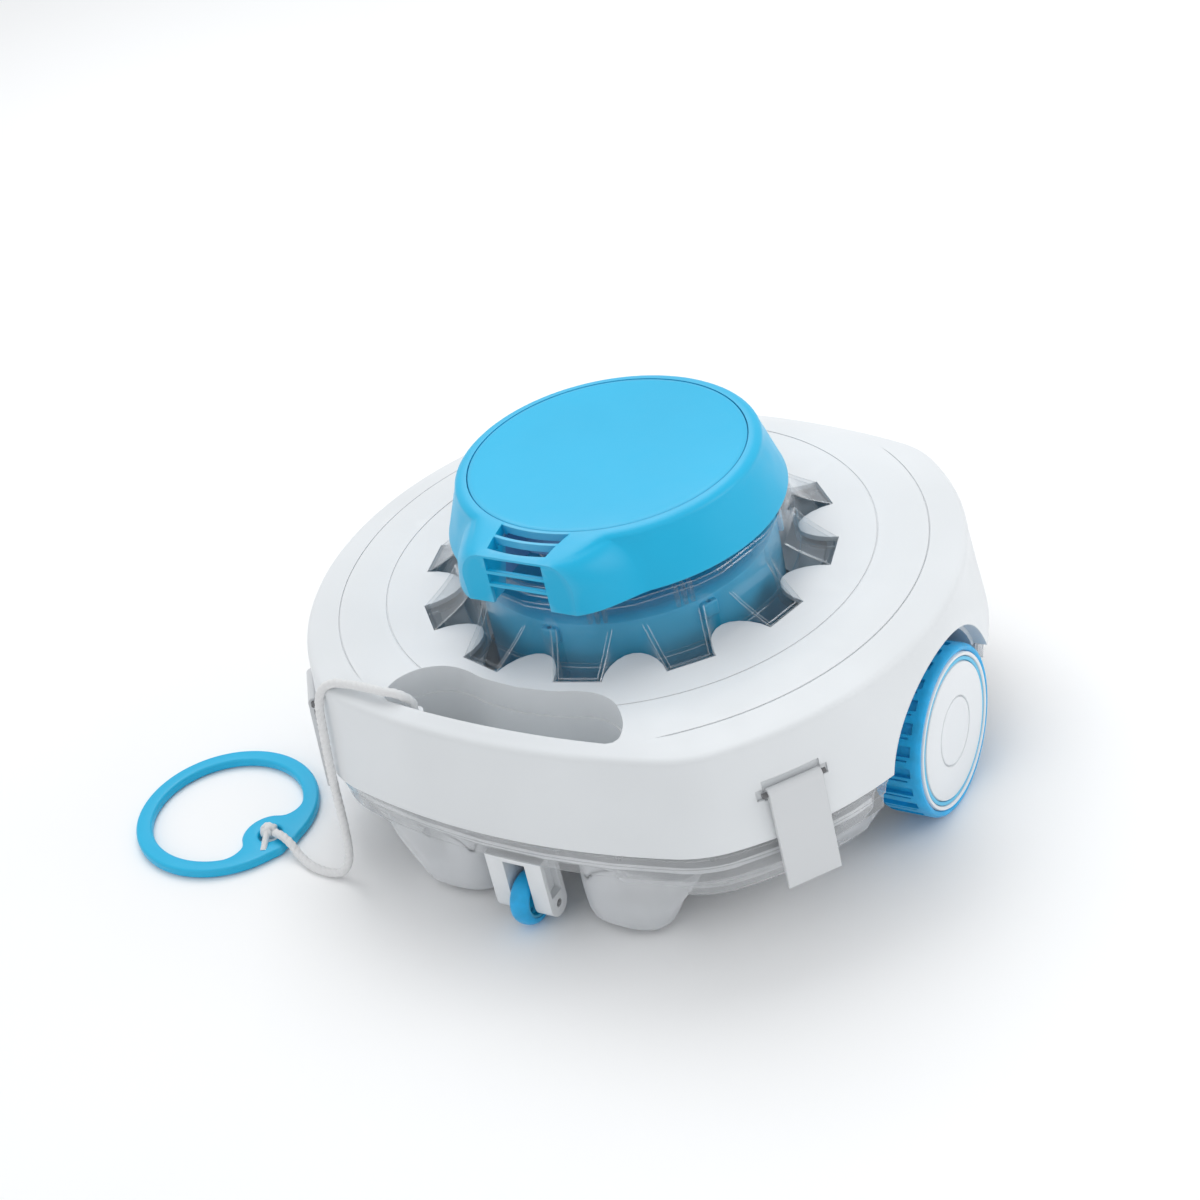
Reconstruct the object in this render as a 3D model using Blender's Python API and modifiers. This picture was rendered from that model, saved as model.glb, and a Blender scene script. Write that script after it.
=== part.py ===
"""Battery pool cleaner, modelled in metres with +Z up and its front towards -Y.

A white shell on a clear debris tray, a clear star-shaped crown with a turning jet cap, two big side
wheels, a small wheel in front and behind, two corner latches, and a pick-up cord with an oval ring.
The origin is on the floor, under the axis of the cap.
"""
import math

import bmesh
import bpy
from mathutils import Matrix, Vector

# ------------------------------------------------------------------ shared sizes
GAP = 0.0003              # between pieces that touch
WALL = 0.0030             # shell wall
TRAY_WALL = 0.0025        # tray wall

# Plan outline: two side arcs, four corner fillets, two flat end arcs.
SIDE_RADIUS = 0.190
CORNER_RADIUS = 0.060
END_RADIUS = 0.420
END_REACH = 0.168
SIDE_STEPS = 9
CORNER_STEPS = 4
END_STEPS = 5

# Upper shell: (outline offset, height) from the skirt up to the rounded top edge, then a low dome.
SKIRT_Z = 0.0707
SHELL_SECTIONS = ((0.0064, SKIRT_Z), (0.0030, 0.0990), (0.0004, 0.1225), (-0.0006, 0.1260),
                  (-0.0022, 0.1286), (-0.0040, 0.1302))
CAVITY_SECTIONS = ((0.0044, 0.0600), (-0.0001, 0.0990), (-0.0030, 0.1210), (-0.0062, 0.1262))
DOME_RADIUS = 0.141
TOP_Z = 0.13685

# Handle recess in front of the crown.
RECESS_FLOOR = 0.0980
RECESS_REAR = ((0.074, -0.146), (0.070, -0.136), (0.062, -0.127), (0.053, -0.122), (0.044, -0.1205),
               (0.034, -0.122), (0.022, -0.1255), (0.0, -0.1275))
RECESS_FRONT_Y = -0.1575
RECESS_FRONT_CURVE = 0.9
RECESS_HALF = 0.072

# Wheel wells and side wheels.
WELL_Y = -0.008
WELL_Z = 0.050
WELL_RADIUS = 0.063
WELL_FLOOR = 0.018
WELL_X = 0.152
TRAY_WELL_X = 0.150
WHEEL_RADIUS = 0.0488
TYRE_SEAT = 0.0446
AXLE_RADIUS = 0.0050
RUNNING = 0.0001

# Crown.
TEETH = 12
TOOTH_PHASE = 15.0
TOOTH_TIP = 0.1194
TOOTH_HALF = 6.4
TOOTH_HALF_TOP = 10.4
FLUTE_RADIUS = 0.0965
CROWN_FOOT_Z = 0.1303
CROWN_SHOULDER_Z = 0.155
CROWN_RIM_Z = 0.170
CROWN_NECK = 0.0906
CROWN_TOP_Z = 0.1768
CROWN_WALL = 0.0024
FLANGE_RADIUS = 0.112
SCREW_CIRCLE = 0.105

# Cap and nozzle.
CAP_RIM = 0.0964
CAP_RIM_Z = 0.1734
CAP_TOP_Z = 0.2062
DISC_SEAT = 0.0792
DISC_SEAT_Z = 0.2032
NOZZLE_FRONT = -0.105
NOZZLE_TOP_Z = 0.2035
NOZZLE_BOTTOM_Z = 0.1738
SLOT_HALF = 0.018

# Latches.
LATCH_ANGLE = -37.5
LATCH_PIN_R = 0.1945
LATCH_PIN_Z = 0.0990
LATCH_WIDTH = 0.031
LATCH_BARREL = 0.0032
LATCH_PIN_RADIUS = 0.0015

# Small wheels in front and behind.
SMALL_AXLE_Y = 0.160
SMALL_AXLE_Z = 0.016
SMALL_RADIUS = 0.016
FORK_HALF = 0.018
FORK_SLOT = 0.007
FORK_RADIUS = 0.008
BAY_TOP = 0.050
SMALL_AXLE = 0.0020

# Cord: route from the anchor in the recess over the front left corner down to the floor.
CORD_DIAMETER = 0.005
CORD_STEP = 0.0085
CORD_ROUTE = ((-0.0570, -0.1470, 0.1244), (-0.0570, -0.1470, 0.1300), (-0.0615, -0.1500, 0.1362),
              (-0.0720, -0.1515, 0.1378), (-0.0850, -0.1500, 0.1368), (-0.0980, -0.1490, 0.1356),
              (-0.1080, -0.1490, 0.1340), (-0.1150, -0.1512, 0.1295), (-0.1178, -0.1540, 0.1200),
              (-0.1190, -0.1565, 0.1000), (-0.1205, -0.1590, 0.0700), (-0.1212, -0.1610, 0.0400),
              (-0.1230, -0.1630, 0.0170), (-0.1285, -0.1655, 0.0055), (-0.1380, -0.1670, 0.0029),
              (-0.1520, -0.1655, 0.0028), (-0.1640, -0.1610, 0.0040), (-0.1730, -0.1570, 0.0080),
              (-0.1805, -0.1545, 0.0098), (-0.1868, -0.1530, 0.0094))
RING_CENTRE = (-0.235, -0.140)
RING_TURN = -15.0
RING_HALF_LONG = 0.059
RING_HALF_SHORT = 0.056
RING_BAND = 0.0100
RING_THICK = 0.0060
EYELET_REACH = 0.043
EYELET_RADIUS = 0.0175
EYELET_HOLE = 0.0072

# ------------------------------------------------------------------ scene and collections
for old in list(bpy.data.objects):
    bpy.data.objects.remove(old, do_unlink=True)

PARTS = bpy.data.collections.new("pool_cleaner")
CUTTERS = bpy.data.collections.new("cutters")
bpy.context.scene.collection.children.link(PARTS)
bpy.context.scene.collection.children.link(CUTTERS)


def make_material(name, colour, roughness, metallic=0.0, alpha=1.0):
    """Principled material of one colour."""
    material = bpy.data.materials.new(name)
    material.use_nodes = True
    shader = material.node_tree.nodes["Principled BSDF"]
    shader.inputs["Base Color"].default_value = (*colour, 1.0)
    shader.inputs["Roughness"].default_value = roughness
    shader.inputs["Metallic"].default_value = metallic
    shader.inputs["Alpha"].default_value = alpha
    return material


FINISHES = {
    "white": ((0.80, 0.82, 0.84), 0.35, 0.0, 1.0),
    "blue": ((0.05, 0.42, 0.79), 0.35, 0.0, 1.0),
    "clear": ((0.85, 0.88, 0.90), 0.08, 0.0, 0.35),
    "frosted": ((0.78, 0.80, 0.82), 0.45, 0.0, 0.7),
    "blue_rubber": ((0.06, 0.44, 0.80), 0.60, 0.0, 1.0),
    "dark_plastic": ((0.05, 0.05, 0.055), 0.45, 0.0, 1.0),
    "steel": ((0.60, 0.60, 0.61), 0.30, 1.0, 1.0),
    "grey_rubber": ((0.10, 0.10, 0.11), 0.75, 0.0, 1.0),
    "mesh": ((0.55, 0.60, 0.63), 0.60, 0.0, 1.0),
    "board": ((0.02, 0.16, 0.07), 0.40, 0.0, 1.0),
    "cord": ((0.78, 0.78, 0.78), 0.85, 0.0, 1.0),
}


# ------------------------------------------------------------------ object helpers
def add_object(name, data, finish):
    """Link data as a part with its own material, or as a hidden cutter when it has no finish."""
    obj = bpy.data.objects.new(name, data)
    if finish is None:
        CUTTERS.objects.link(obj)
        obj.hide_render = True
        obj.display_type = "WIRE"
        return obj
    PARTS.objects.link(obj)
    data.materials.append(make_material(name + "_material", *FINISHES[finish]))
    return obj


def as_mesh(obj):
    """Mesh object with a curve's evaluated shape in the same place, its caps welded."""
    bpy.context.view_layer.update()
    evaluated = obj.evaluated_get(bpy.context.evaluated_depsgraph_get())
    mesh = bpy.data.meshes.new_from_object(evaluated)
    work = bmesh.new()
    work.from_mesh(mesh)
    bmesh.ops.remove_doubles(work, verts=work.verts, dist=0.000001)
    work.to_mesh(mesh)
    work.free()
    name = obj.name
    matrix = obj.matrix_world.copy()
    collection = obj.users_collection[0]
    hidden = obj.hide_render
    bpy.data.objects.remove(obj, do_unlink=True)
    solid = bpy.data.objects.new(name, mesh)
    collection.objects.link(solid)
    solid.matrix_world = matrix
    if hidden:
        solid.hide_render = True
        solid.display_type = "WIRE"
    return solid


def boolean(obj, tool, operation="DIFFERENCE"):
    """Boolean modifier with the exact solver."""
    modifier = obj.modifiers.new(operation.lower(), "BOOLEAN")
    modifier.operation = operation
    modifier.solver = "EXACT"
    modifier.object = tool


def plate(name, loops, low, high, finish=None, frame=None):
    """Flat solid between two heights; the first loop is its outline, the others are holes."""
    curve = bpy.data.curves.new(name, "CURVE")
    curve.dimensions = "2D"
    curve.fill_mode = "BOTH"
    curve.extrude = (high - low) / 2
    for loop in loops:
        spline = curve.splines.new("POLY")
        spline.points.add(len(loop) - 1)
        for point, (x, y) in zip(spline.points, loop):
            point.co = (x, y, 0.0, 1.0)
        spline.use_cyclic_u = True
    obj = add_object(name, curve, finish)
    obj.matrix_world = (frame or Matrix()) @ Matrix.Translation((0, 0, (low + high) / 2))
    return as_mesh(obj)


def block(name, low, high, finish=None, bevel=0.0, frame=None):
    """Box between two corners, with an optional rounded edge."""
    mesh = bpy.data.meshes.new(name)
    work = bmesh.new()
    bmesh.ops.create_cube(work, size=1.0)
    size = [b - a for a, b in zip(low, high)]
    bmesh.ops.scale(work, vec=size, verts=work.verts)
    work.to_mesh(mesh)
    work.free()
    obj = add_object(name, mesh, finish)
    centre = Vector([(a + b) / 2 for a, b in zip(low, high)])
    obj.matrix_world = (frame or Matrix()) @ Matrix.Translation(centre)
    if bevel:
        modifier = obj.modifiers.new("round", "BEVEL")
        modifier.width = bevel
        modifier.segments = 2
    return obj


def rod(name, radius, low, high, finish=None, frame=None, sides=24):
    """Round bar between two heights of its frame."""
    mesh = bpy.data.meshes.new(name)
    work = bmesh.new()
    bmesh.ops.create_cone(work, cap_ends=True, segments=sides, radius1=radius, radius2=radius,
                          depth=high - low)
    bmesh.ops.translate(work, vec=(0, 0, (low + high) / 2), verts=work.verts)
    work.to_mesh(mesh)
    work.free()
    mesh.shade_smooth()
    mesh.set_sharp_from_angle(angle=math.radians(40))
    obj = add_object(name, mesh, finish)
    obj.matrix_world = frame or Matrix()
    return obj


def lathe(name, profile, finish=None, frame=None, steps=32):
    """Turned solid; the profile runs down its outer side, and up inside or ends on the axis."""
    mesh = bpy.data.meshes.new(name)
    count = len(profile)
    closed = profile[0][0] > 0
    edges = [(i, i + 1) for i in range(count - 1)]
    if closed:
        edges.append((count - 1, 0))
    mesh.from_pydata([(r, 0.0, z) for r, z in profile], edges, [])
    obj = add_object(name, mesh, finish)
    obj.matrix_world = frame or Matrix()
    screw = obj.modifiers.new("turn", "SCREW")
    screw.steps = steps
    screw.render_steps = steps
    screw.use_merge_vertices = True
    screw.merge_threshold = 0.000001
    screw.use_smooth_shade = True
    return obj


def loft(name, rings, finish=None):
    """Solid through rings of equal point count, closed by a flat face at each end."""
    work = bmesh.new()
    rows = [[work.verts.new(point) for point in ring] for ring in rings]
    count = len(rings[0])
    for lower, upper in zip(rows, rows[1:]):
        for i in range(count):
            j = (i + 1) % count
            work.faces.new((lower[i], lower[j], upper[j], upper[i]))
    work.faces.new(list(reversed(rows[0])))
    work.faces.new(rows[-1])
    bmesh.ops.recalc_face_normals(work, faces=work.faces)
    mesh = bpy.data.meshes.new(name)
    work.to_mesh(mesh)
    work.free()
    mesh.shade_smooth()
    mesh.set_sharp_from_angle(angle=math.radians(35))
    return add_object(name, mesh, finish)


# ------------------------------------------------------------------ outlines and frames
def arc(centre, radius, start, end, steps):
    """Points along an arc in degrees, without the last one."""
    angles = [math.radians(start + (end - start) * i / steps) for i in range(steps)]
    return [(centre[0] + radius * math.cos(a), centre[1] + radius * math.sin(a)) for a in angles]


def circle(centre, radius, steps):
    return arc(centre, radius, 0.0, 360.0, steps)


def outline(offset):
    """Plan outline of the body, moved outwards by the offset."""
    end_centre = END_RADIUS - END_REACH
    reach = SIDE_RADIUS - CORNER_RADIUS
    corner_y = ((END_RADIUS - CORNER_RADIUS) ** 2 - reach ** 2 - end_centre ** 2) / (2 * end_centre)
    corner_x = math.sqrt(reach ** 2 - corner_y ** 2)
    side = math.degrees(math.atan2(corner_y, corner_x))
    end = math.degrees(math.atan2(corner_y + end_centre, corner_x))
    points = []
    for half, sign in ((0.0, 1), (180.0, -1)):
        right = (sign * corner_x, sign * corner_y)
        left = (-sign * corner_x, sign * corner_y)
        points += arc((0, 0), SIDE_RADIUS + offset, half - side, half + side, SIDE_STEPS)
        points += arc(right, CORNER_RADIUS + offset, half + side, half + end, CORNER_STEPS)
        points += arc((0, -sign * end_centre), END_RADIUS + offset, half + end, half + 180 - end,
                      END_STEPS)
        points += arc(left, CORNER_RADIUS + offset, half + 180 - end, half + 180 - side, CORNER_STEPS)
    return points


def ring(offset, z):
    return [(x, y, z) for x, y in outline(offset)]


def dome_rings(offset, low, radius, high, steps):
    """Rings from the offset outline up to a circle, rising like a quarter of a sine."""
    rings = []
    for i in range(1, steps + 1):
        part = i / steps
        points = []
        for x, y in outline(offset):
            scale = radius / math.hypot(x, y)
            points.append((x + (x * scale - x) * part, y + (y * scale - y) * part,
                           low + (high - low) * math.sin(part * math.pi / 2)))
        rings.append(points)
    return rings


def grow(points, distance):
    """Counter-clockwise outline moved outwards along its corner normals."""
    grown = []
    count = len(points)
    for i, point in enumerate(points):
        before = Vector(point) - Vector(points[i - 1])
        after = Vector(points[(i + 1) % count]) - Vector(point)
        normals = [Vector((e.y, -e.x)).normalized() for e in (before, after)]
        middle = (normals[0] + normals[1]).normalized()
        reach = distance / max(0.5, middle.dot(normals[0]))
        grown.append((point[0] + middle.x * reach, point[1] + middle.y * reach))
    return grown


def recess_outline():
    steps = 12
    points = []
    for i in range(steps + 1):
        x = RECESS_HALF * (2 * i / steps - 1)
        points.append((x, RECESS_FRONT_Y + x * x / RECESS_FRONT_CURVE))
    points += list(RECESS_REAR)
    points += [(-x, y) for x, y in reversed(RECESS_REAR[:-1])]
    return points


def well_outline(growth):
    radius = WELL_RADIUS + growth
    arch = arc((WELL_Y, WELL_Z), radius, 0.0, 180.0, 14) + [(WELL_Y - radius, WELL_Z)]
    return arch + [(WELL_Y - radius, WELL_FLOOR - growth), (WELL_Y + radius, WELL_FLOOR - growth)]


def axis_frame(side=1, origin=(0, 0, 0)):
    """Frame whose Z is +X or -X of the world, for turned pieces on a cross axle."""
    return Matrix.Translation(origin) @ Matrix.Rotation(side * math.pi / 2, 4, "Y")


def section_frame(origin=(0, 0, 0)):
    """Frame whose X, Y, Z are the world's Y, Z, X, for outlines seen from the side."""
    return Matrix.Translation(origin) @ Matrix(((0, 0, 1, 0), (1, 0, 0, 0), (0, 1, 0, 0), (0, 0, 0, 1)))


def radial_frame(angle, origin_r=0.0, origin_z=0.0):
    """Frame with X outwards at the angle, Y up and Z along the wall."""
    c, s = math.cos(math.radians(angle)), math.sin(math.radians(angle))
    turn = Matrix(((c, 0, s, 0), (s, 0, -c, 0), (0, 1, 0, 0), (0, 0, 0, 1)))
    return Matrix.Translation((c * origin_r, s * origin_r, origin_z)) @ turn


def rear_frame(x, z):
    """Frame whose Z points backwards, for round pieces in the rear wall."""
    return Matrix.Translation((x, 0, z)) @ Matrix.Rotation(-math.pi / 2, 4, "X")


def smooth_route(points, step):
    """Points at about equal steps along a smooth curve through the given ones."""
    ends = [Vector(points[0]) * 2 - Vector(points[1]), Vector(points[-1]) * 2 - Vector(points[-2])]
    knots = [ends[0]] + [Vector(p) for p in points] + [ends[1]]
    fine = []
    for i in range(1, len(knots) - 2):
        a, b, c, d = knots[i - 1:i + 3]
        for k in range(16):
            t = k / 16
            fine.append(0.5 * (2 * b + (c - a) * t + (2 * a - 5 * b + 4 * c - d) * t * t
                               + (3 * b - 3 * c + d - a) * t ** 3))
    fine.append(knots[-2])
    total = sum((q - p).length for p, q in zip(fine, fine[1:]))
    count = max(2, round(total / step))
    route = [fine[0]]
    walked = 0.0
    for p, q in zip(fine, fine[1:]):
        walked += (q - p).length
        if walked >= total * len(route) / count and len(route) < count:
            route.append(q)
    route.append(fine[-1])
    return route


# ------------------------------------------------------------------ cutters shared by several pieces
def well_cutters(tag, inner_x, growth):
    """One block of the arch shape for each side, from inner_x outwards."""
    pair = []
    for side in (1, -1):
        low, high = sorted((side * inner_x, side * 0.215))
        pair.append(plate(f"well_{tag}_{'right' if side > 0 else 'left'}", [well_outline(growth)],
                          low, high, frame=section_frame()))
    return pair


def tooth_ring(z, tip, flute, half, growth=0.0):
    """One star-shaped ring: twelve flat teeth with round flutes between them."""
    points = []
    period = 360.0 / TEETH
    flute_half = period / 2 - half - math.degrees(growth / tip)
    for k in range(TEETH):
        middle = TOOTH_PHASE + period * (k + 0.5)
        for phi in (-90, -50, -17, 17, 50, 90):
            angle = math.radians(middle + flute_half * math.sin(math.radians(phi)))
            radius = flute + growth + (tip - flute) * (1 - math.cos(math.radians(phi)))
            points.append((radius * math.cos(angle), radius * math.sin(angle), z))
    return points


def crown_ring(z, inset=0.0):
    """Ring of the crown at one height, moved inwards by the inset."""
    rise = min(1.0, max(0.0, (z - TOP_Z) / (CROWN_SHOULDER_Z - TOP_Z)))
    tip = TOOTH_TIP + (FLUTE_RADIUS + 0.0006 - TOOTH_TIP) * rise
    half = TOOTH_HALF + (TOOTH_HALF_TOP - TOOTH_HALF) * rise
    flute_half = 180.0 / TEETH - half + math.degrees(inset / tip)
    return tooth_ring(z, tip - inset, FLUTE_RADIUS - inset, 180.0 / TEETH - flute_half)


def round_ring(z, radius):
    """Circle with the crown's own point angles."""
    return [(x * radius / math.hypot(x, y), y * radius / math.hypot(x, y), z)
            for x, y, _ in crown_ring(CROWN_SHOULDER_Z)]


# ------------------------------------------------------------------ upper shell
def build_shell():
    rings = [ring(offset, z) for offset, z in SHELL_SECTIONS]
    offset, low = SHELL_SECTIONS[-1]
    rings += dome_rings(offset, low, DOME_RADIUS, TOP_Z, 3)
    shell = loft("upper_shell", rings, "white")

    inner = [ring(offset, z) for offset, z in CAVITY_SECTIONS]
    inner += dome_rings(-0.0085, 0.1274, DOME_RADIUS - WALL, TOP_Z - WALL, 2)
    cavity = loft("shell_cavity", inner)
    boolean(cavity, plate("recess_wall", [grow(recess_outline(), WALL)], RECESS_FLOOR - WALL, 0.150))
    for cutter in well_cutters("wall", WELL_X - WALL, WALL):
        boolean(cavity, cutter)
    boolean(shell, cavity)

    boolean(shell, plate("recess", [recess_outline()], RECESS_FLOOR, 0.160))
    for cutter in well_cutters("space", WELL_X, 0.0):
        boolean(shell, cutter)
    star = [(x, y) for x, y, _ in tooth_ring(0.0, TOOTH_TIP, FLUTE_RADIUS, TOOTH_HALF, 0.00035)]
    boolean(shell, plate("star", [star], TOP_Z - 0.006, 0.160))
    for angle in (LATCH_ANGLE, 180 - LATCH_ANGLE):
        slot = block(f"latch_slot_{round(angle)}", (0.1906, 0.0942, -0.0185), (0.2150, 0.1040, 0.0185),
                     frame=radial_frame(angle))
        boolean(shell, slot)
    for side in (1, -1):
        low, high = sorted((side * 0.1506, side * 0.1546))
        bracket = block(f"bracket_{side}", (low, -0.013, 0.036), (high, 0.013, 0.095))
        boolean(shell, bracket, "UNION")
        hole = rod(f"bracket_hole_{side}", 0.0083, 0.1400, 0.1600,
                   frame=axis_frame(side, (0, 0, WHEEL_RADIUS)))
        boolean(shell, hole)
    for angle in range(0, 360, 90):
        place = Matrix.Rotation(math.radians(angle), 4, "Z") @ Matrix.Translation((SCREW_CIRCLE, 0, 0))
        boolean(shell, rod(f"roof_hole_{angle}", 0.0018, 0.125, 0.1358, frame=place, sides=12))
    boolean(shell, rod("button_hole", 0.0106, 0.150, 0.190, frame=rear_frame(0.025, 0.100)))
    boolean(shell, rod("socket_hole", 0.0068, 0.150, 0.190, frame=rear_frame(-0.025, 0.100)))


# ------------------------------------------------------------------ crown
def build_crown():
    heights = (CROWN_FOOT_Z, TOP_Z, 0.1455, CROWN_SHOULDER_Z)
    rings = [crown_ring(z) for z in heights]
    rings += [round_ring(0.1680, 0.0962), round_ring(CROWN_RIM_Z, 0.0955),
              round_ring(0.1703, CROWN_NECK), round_ring(CROWN_TOP_Z, CROWN_NECK - 0.0002)]
    crown = loft("crown", rings, "clear")
    boolean(crown, rod("crown_flange", FLANGE_RADIUS, 0.1298, 0.1335, sides=72), "UNION")
    inner = [crown_ring(z, CROWN_WALL) for z in (0.1240, TOP_Z - 0.0012, 0.1443, 0.1540)]
    inner += [round_ring(0.1655, 0.0936), round_ring(0.1676, 0.0886), round_ring(0.1850, 0.0884)]
    boolean(crown, loft("crown_inside", inner))
    for angle in range(0, 360, 90):
        place = Matrix.Rotation(math.radians(angle), 4, "Z") @ Matrix.Translation((SCREW_CIRCLE, 0, 0))
        boolean(crown, rod(f"flange_hole_{angle}", 0.0018, 0.125, 0.1360, frame=place, sides=12))
        lathe(f"crown_screw_{angle}", ((0, 0.1355), (0.0015, 0.1350), (0.0015, 0.1295), (0.0033, 0.1295),
                                       (0.0033, 0.1270), (0, 0.1270)), "steel", place, 10)


# ------------------------------------------------------------------ cap, disc and nozzle
def nozzle_ring(y, top, side, foot):
    """Section of the nozzle at one depth: flat top, rounded cheeks, nearly upright sides."""
    cheek_z = 0.1870
    right = [(foot, NOZZLE_BOTTOM_Z), (side, cheek_z)]
    for step in (1, 2, 3):
        a = math.radians(30 * step)
        right.append((top + (side - top) * math.cos(a), cheek_z + (NOZZLE_TOP_Z - cheek_z) * math.sin(a)))
    return [(x, y, z) for x, z in right] + [(-x, y, z) for x, z in reversed(right)]


def build_cap():
    cap = lathe("nozzle_cap", ((0, CAP_TOP_Z), (0.0820, CAP_TOP_Z - 0.0002), (0.0846, 0.2050),
                               (0.0862, 0.2020), (CAP_RIM, CAP_RIM_Z), (CAP_RIM - 0.0026, CAP_RIM_Z),
                               (0.0835, 0.2000), (0, 0.2000)), "blue", steps=56)
    nozzle = loft("nozzle", [nozzle_ring(-0.060, 0.034, 0.056, 0.060),
                             nozzle_ring(-0.084, 0.026, 0.045, 0.047),
                             nozzle_ring(-0.098, 0.0215, 0.037, 0.037),
                             nozzle_ring(NOZZLE_FRONT, 0.020, 0.0345, 0.034)])
    boolean(cap, nozzle, "UNION")
    boolean(cap, rod("neck_space", CROWN_NECK + 0.0010, 0.160, CROWN_TOP_Z + 0.0008, sides=56))
    boolean(cap, rod("disc_pocket", DISC_SEAT, DISC_SEAT_Z, 0.215, sides=56))
    duct = block("duct", (-SLOT_HALF, NOZZLE_FRONT + 0.0027, 0.1758), (SLOT_HALF, -0.050, 0.2001))
    boolean(cap, duct)
    for index, (low, high) in enumerate(((0.1759, 0.1840), (0.1870, 0.1925), (0.1958, 0.2008))):
        boolean(cap, block(f"front_slot_{index}", (-0.0178, -0.112, low), (0.0178, -0.099, high)))
    for index, (low, high) in enumerate(((-0.0988, -0.0912), (-0.0880, -0.0806))):
        boolean(cap, block(f"top_slot_{index}", (-0.0178, low, 0.1985), (0.0178, high, 0.212)))
    lathe("cap_disc", ((0, 0.2070), (0.0700, 0.2066), (0.0778, 0.2060), (0.0788, 0.2052),
                       (0.0788, DISC_SEAT_Z + GAP), (0, DISC_SEAT_Z + GAP)), "blue", steps=56)


# ------------------------------------------------------------------ pump, power and chassis
def build_inside():
    lathe("pump_housing", ((0.0060, 0.1520), (0.0830, 0.1520), (0.0860, 0.1490), (0.0860, 0.0818),
                           (0.0835, 0.0818), (0.0835, 0.1475), (0.0820, 0.1490), (0.0060, 0.1490)),
          "blue")
    arms = []
    for k in range(4):
        arms += arc((0, 0), 0.086, 90 * k - 37, 90 * k + 37, 10) + [(
            0.086 * math.cos(math.radians(90 * k + 37)), 0.086 * math.sin(math.radians(90 * k + 37)))]
        arms += [(0.106 * math.cos(math.radians(90 * k + a)), 0.106 * math.sin(math.radians(90 * k + a)))
                 for a in (39, 51)]
    plate("housing_base", [arms], 0.0783, 0.0815, "blue")
    for side, name in ((-1, "left"), (1, "right")):
        low, high = sorted((side * 0.024, side * 0.056))
        block(f"battery_{name}", (low, -0.035, 0.0825), (high, 0.035, 0.140), "dark_plastic", 0.003)
    lathe("pump_motor", ((0, 0.1460), (0.0060, 0.1460), (0.0060, 0.1440), (0.0180, 0.1440),
                         (0.0180, 0.0840), (0, 0.0840)), "steel", steps=24)
    rod("motor_shaft", 0.0030, 0.1463, 0.1665, "steel")
    lathe("shaft_seal", ((0.00308, 0.1535), (0.0057, 0.1535), (0.0057, 0.1466),
                         (0.00308, 0.1466)), "grey_rubber", steps=24)
    block("control_board", (-0.025, -0.0626, 0.086), (0.025, -0.0610, 0.130), "board")

    impeller = lathe("impeller", ((0, 0.1675), (0.0100, 0.1675), (0.0100, 0.1585), (0.0500, 0.1585),
                                  (0.0500, 0.1560), (0, 0.1560)), "white")
    vanes = []
    for k in range(6):
        root, tip = math.radians(60 * k), math.radians(60 * k + 24)
        for r, a, t in ((0.008, root, -0.5), (0.048, tip, -0.09), (0.048, tip, 0.0), (0.008, root, 0.5)):
            vanes.append((r * math.cos(a + t * 0.5), r * math.sin(a + t * 0.5)))
    boolean(impeller, plate("vanes", [vanes], 0.1580, 0.1670), "UNION")
    boolean(impeller, rod("impeller_bore", 0.0033, 0.1500, 0.1668))

    chassis = plate("chassis_plate", [outline(0.0016), circle((0, 0), 0.098, 40)], 0.0750, 0.0780,
                    "white")
    for cutter in well_cutters("chassis", WELL_X - WALL - 0.0004, WALL + 0.0004):
        boolean(chassis, cutter)


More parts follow.
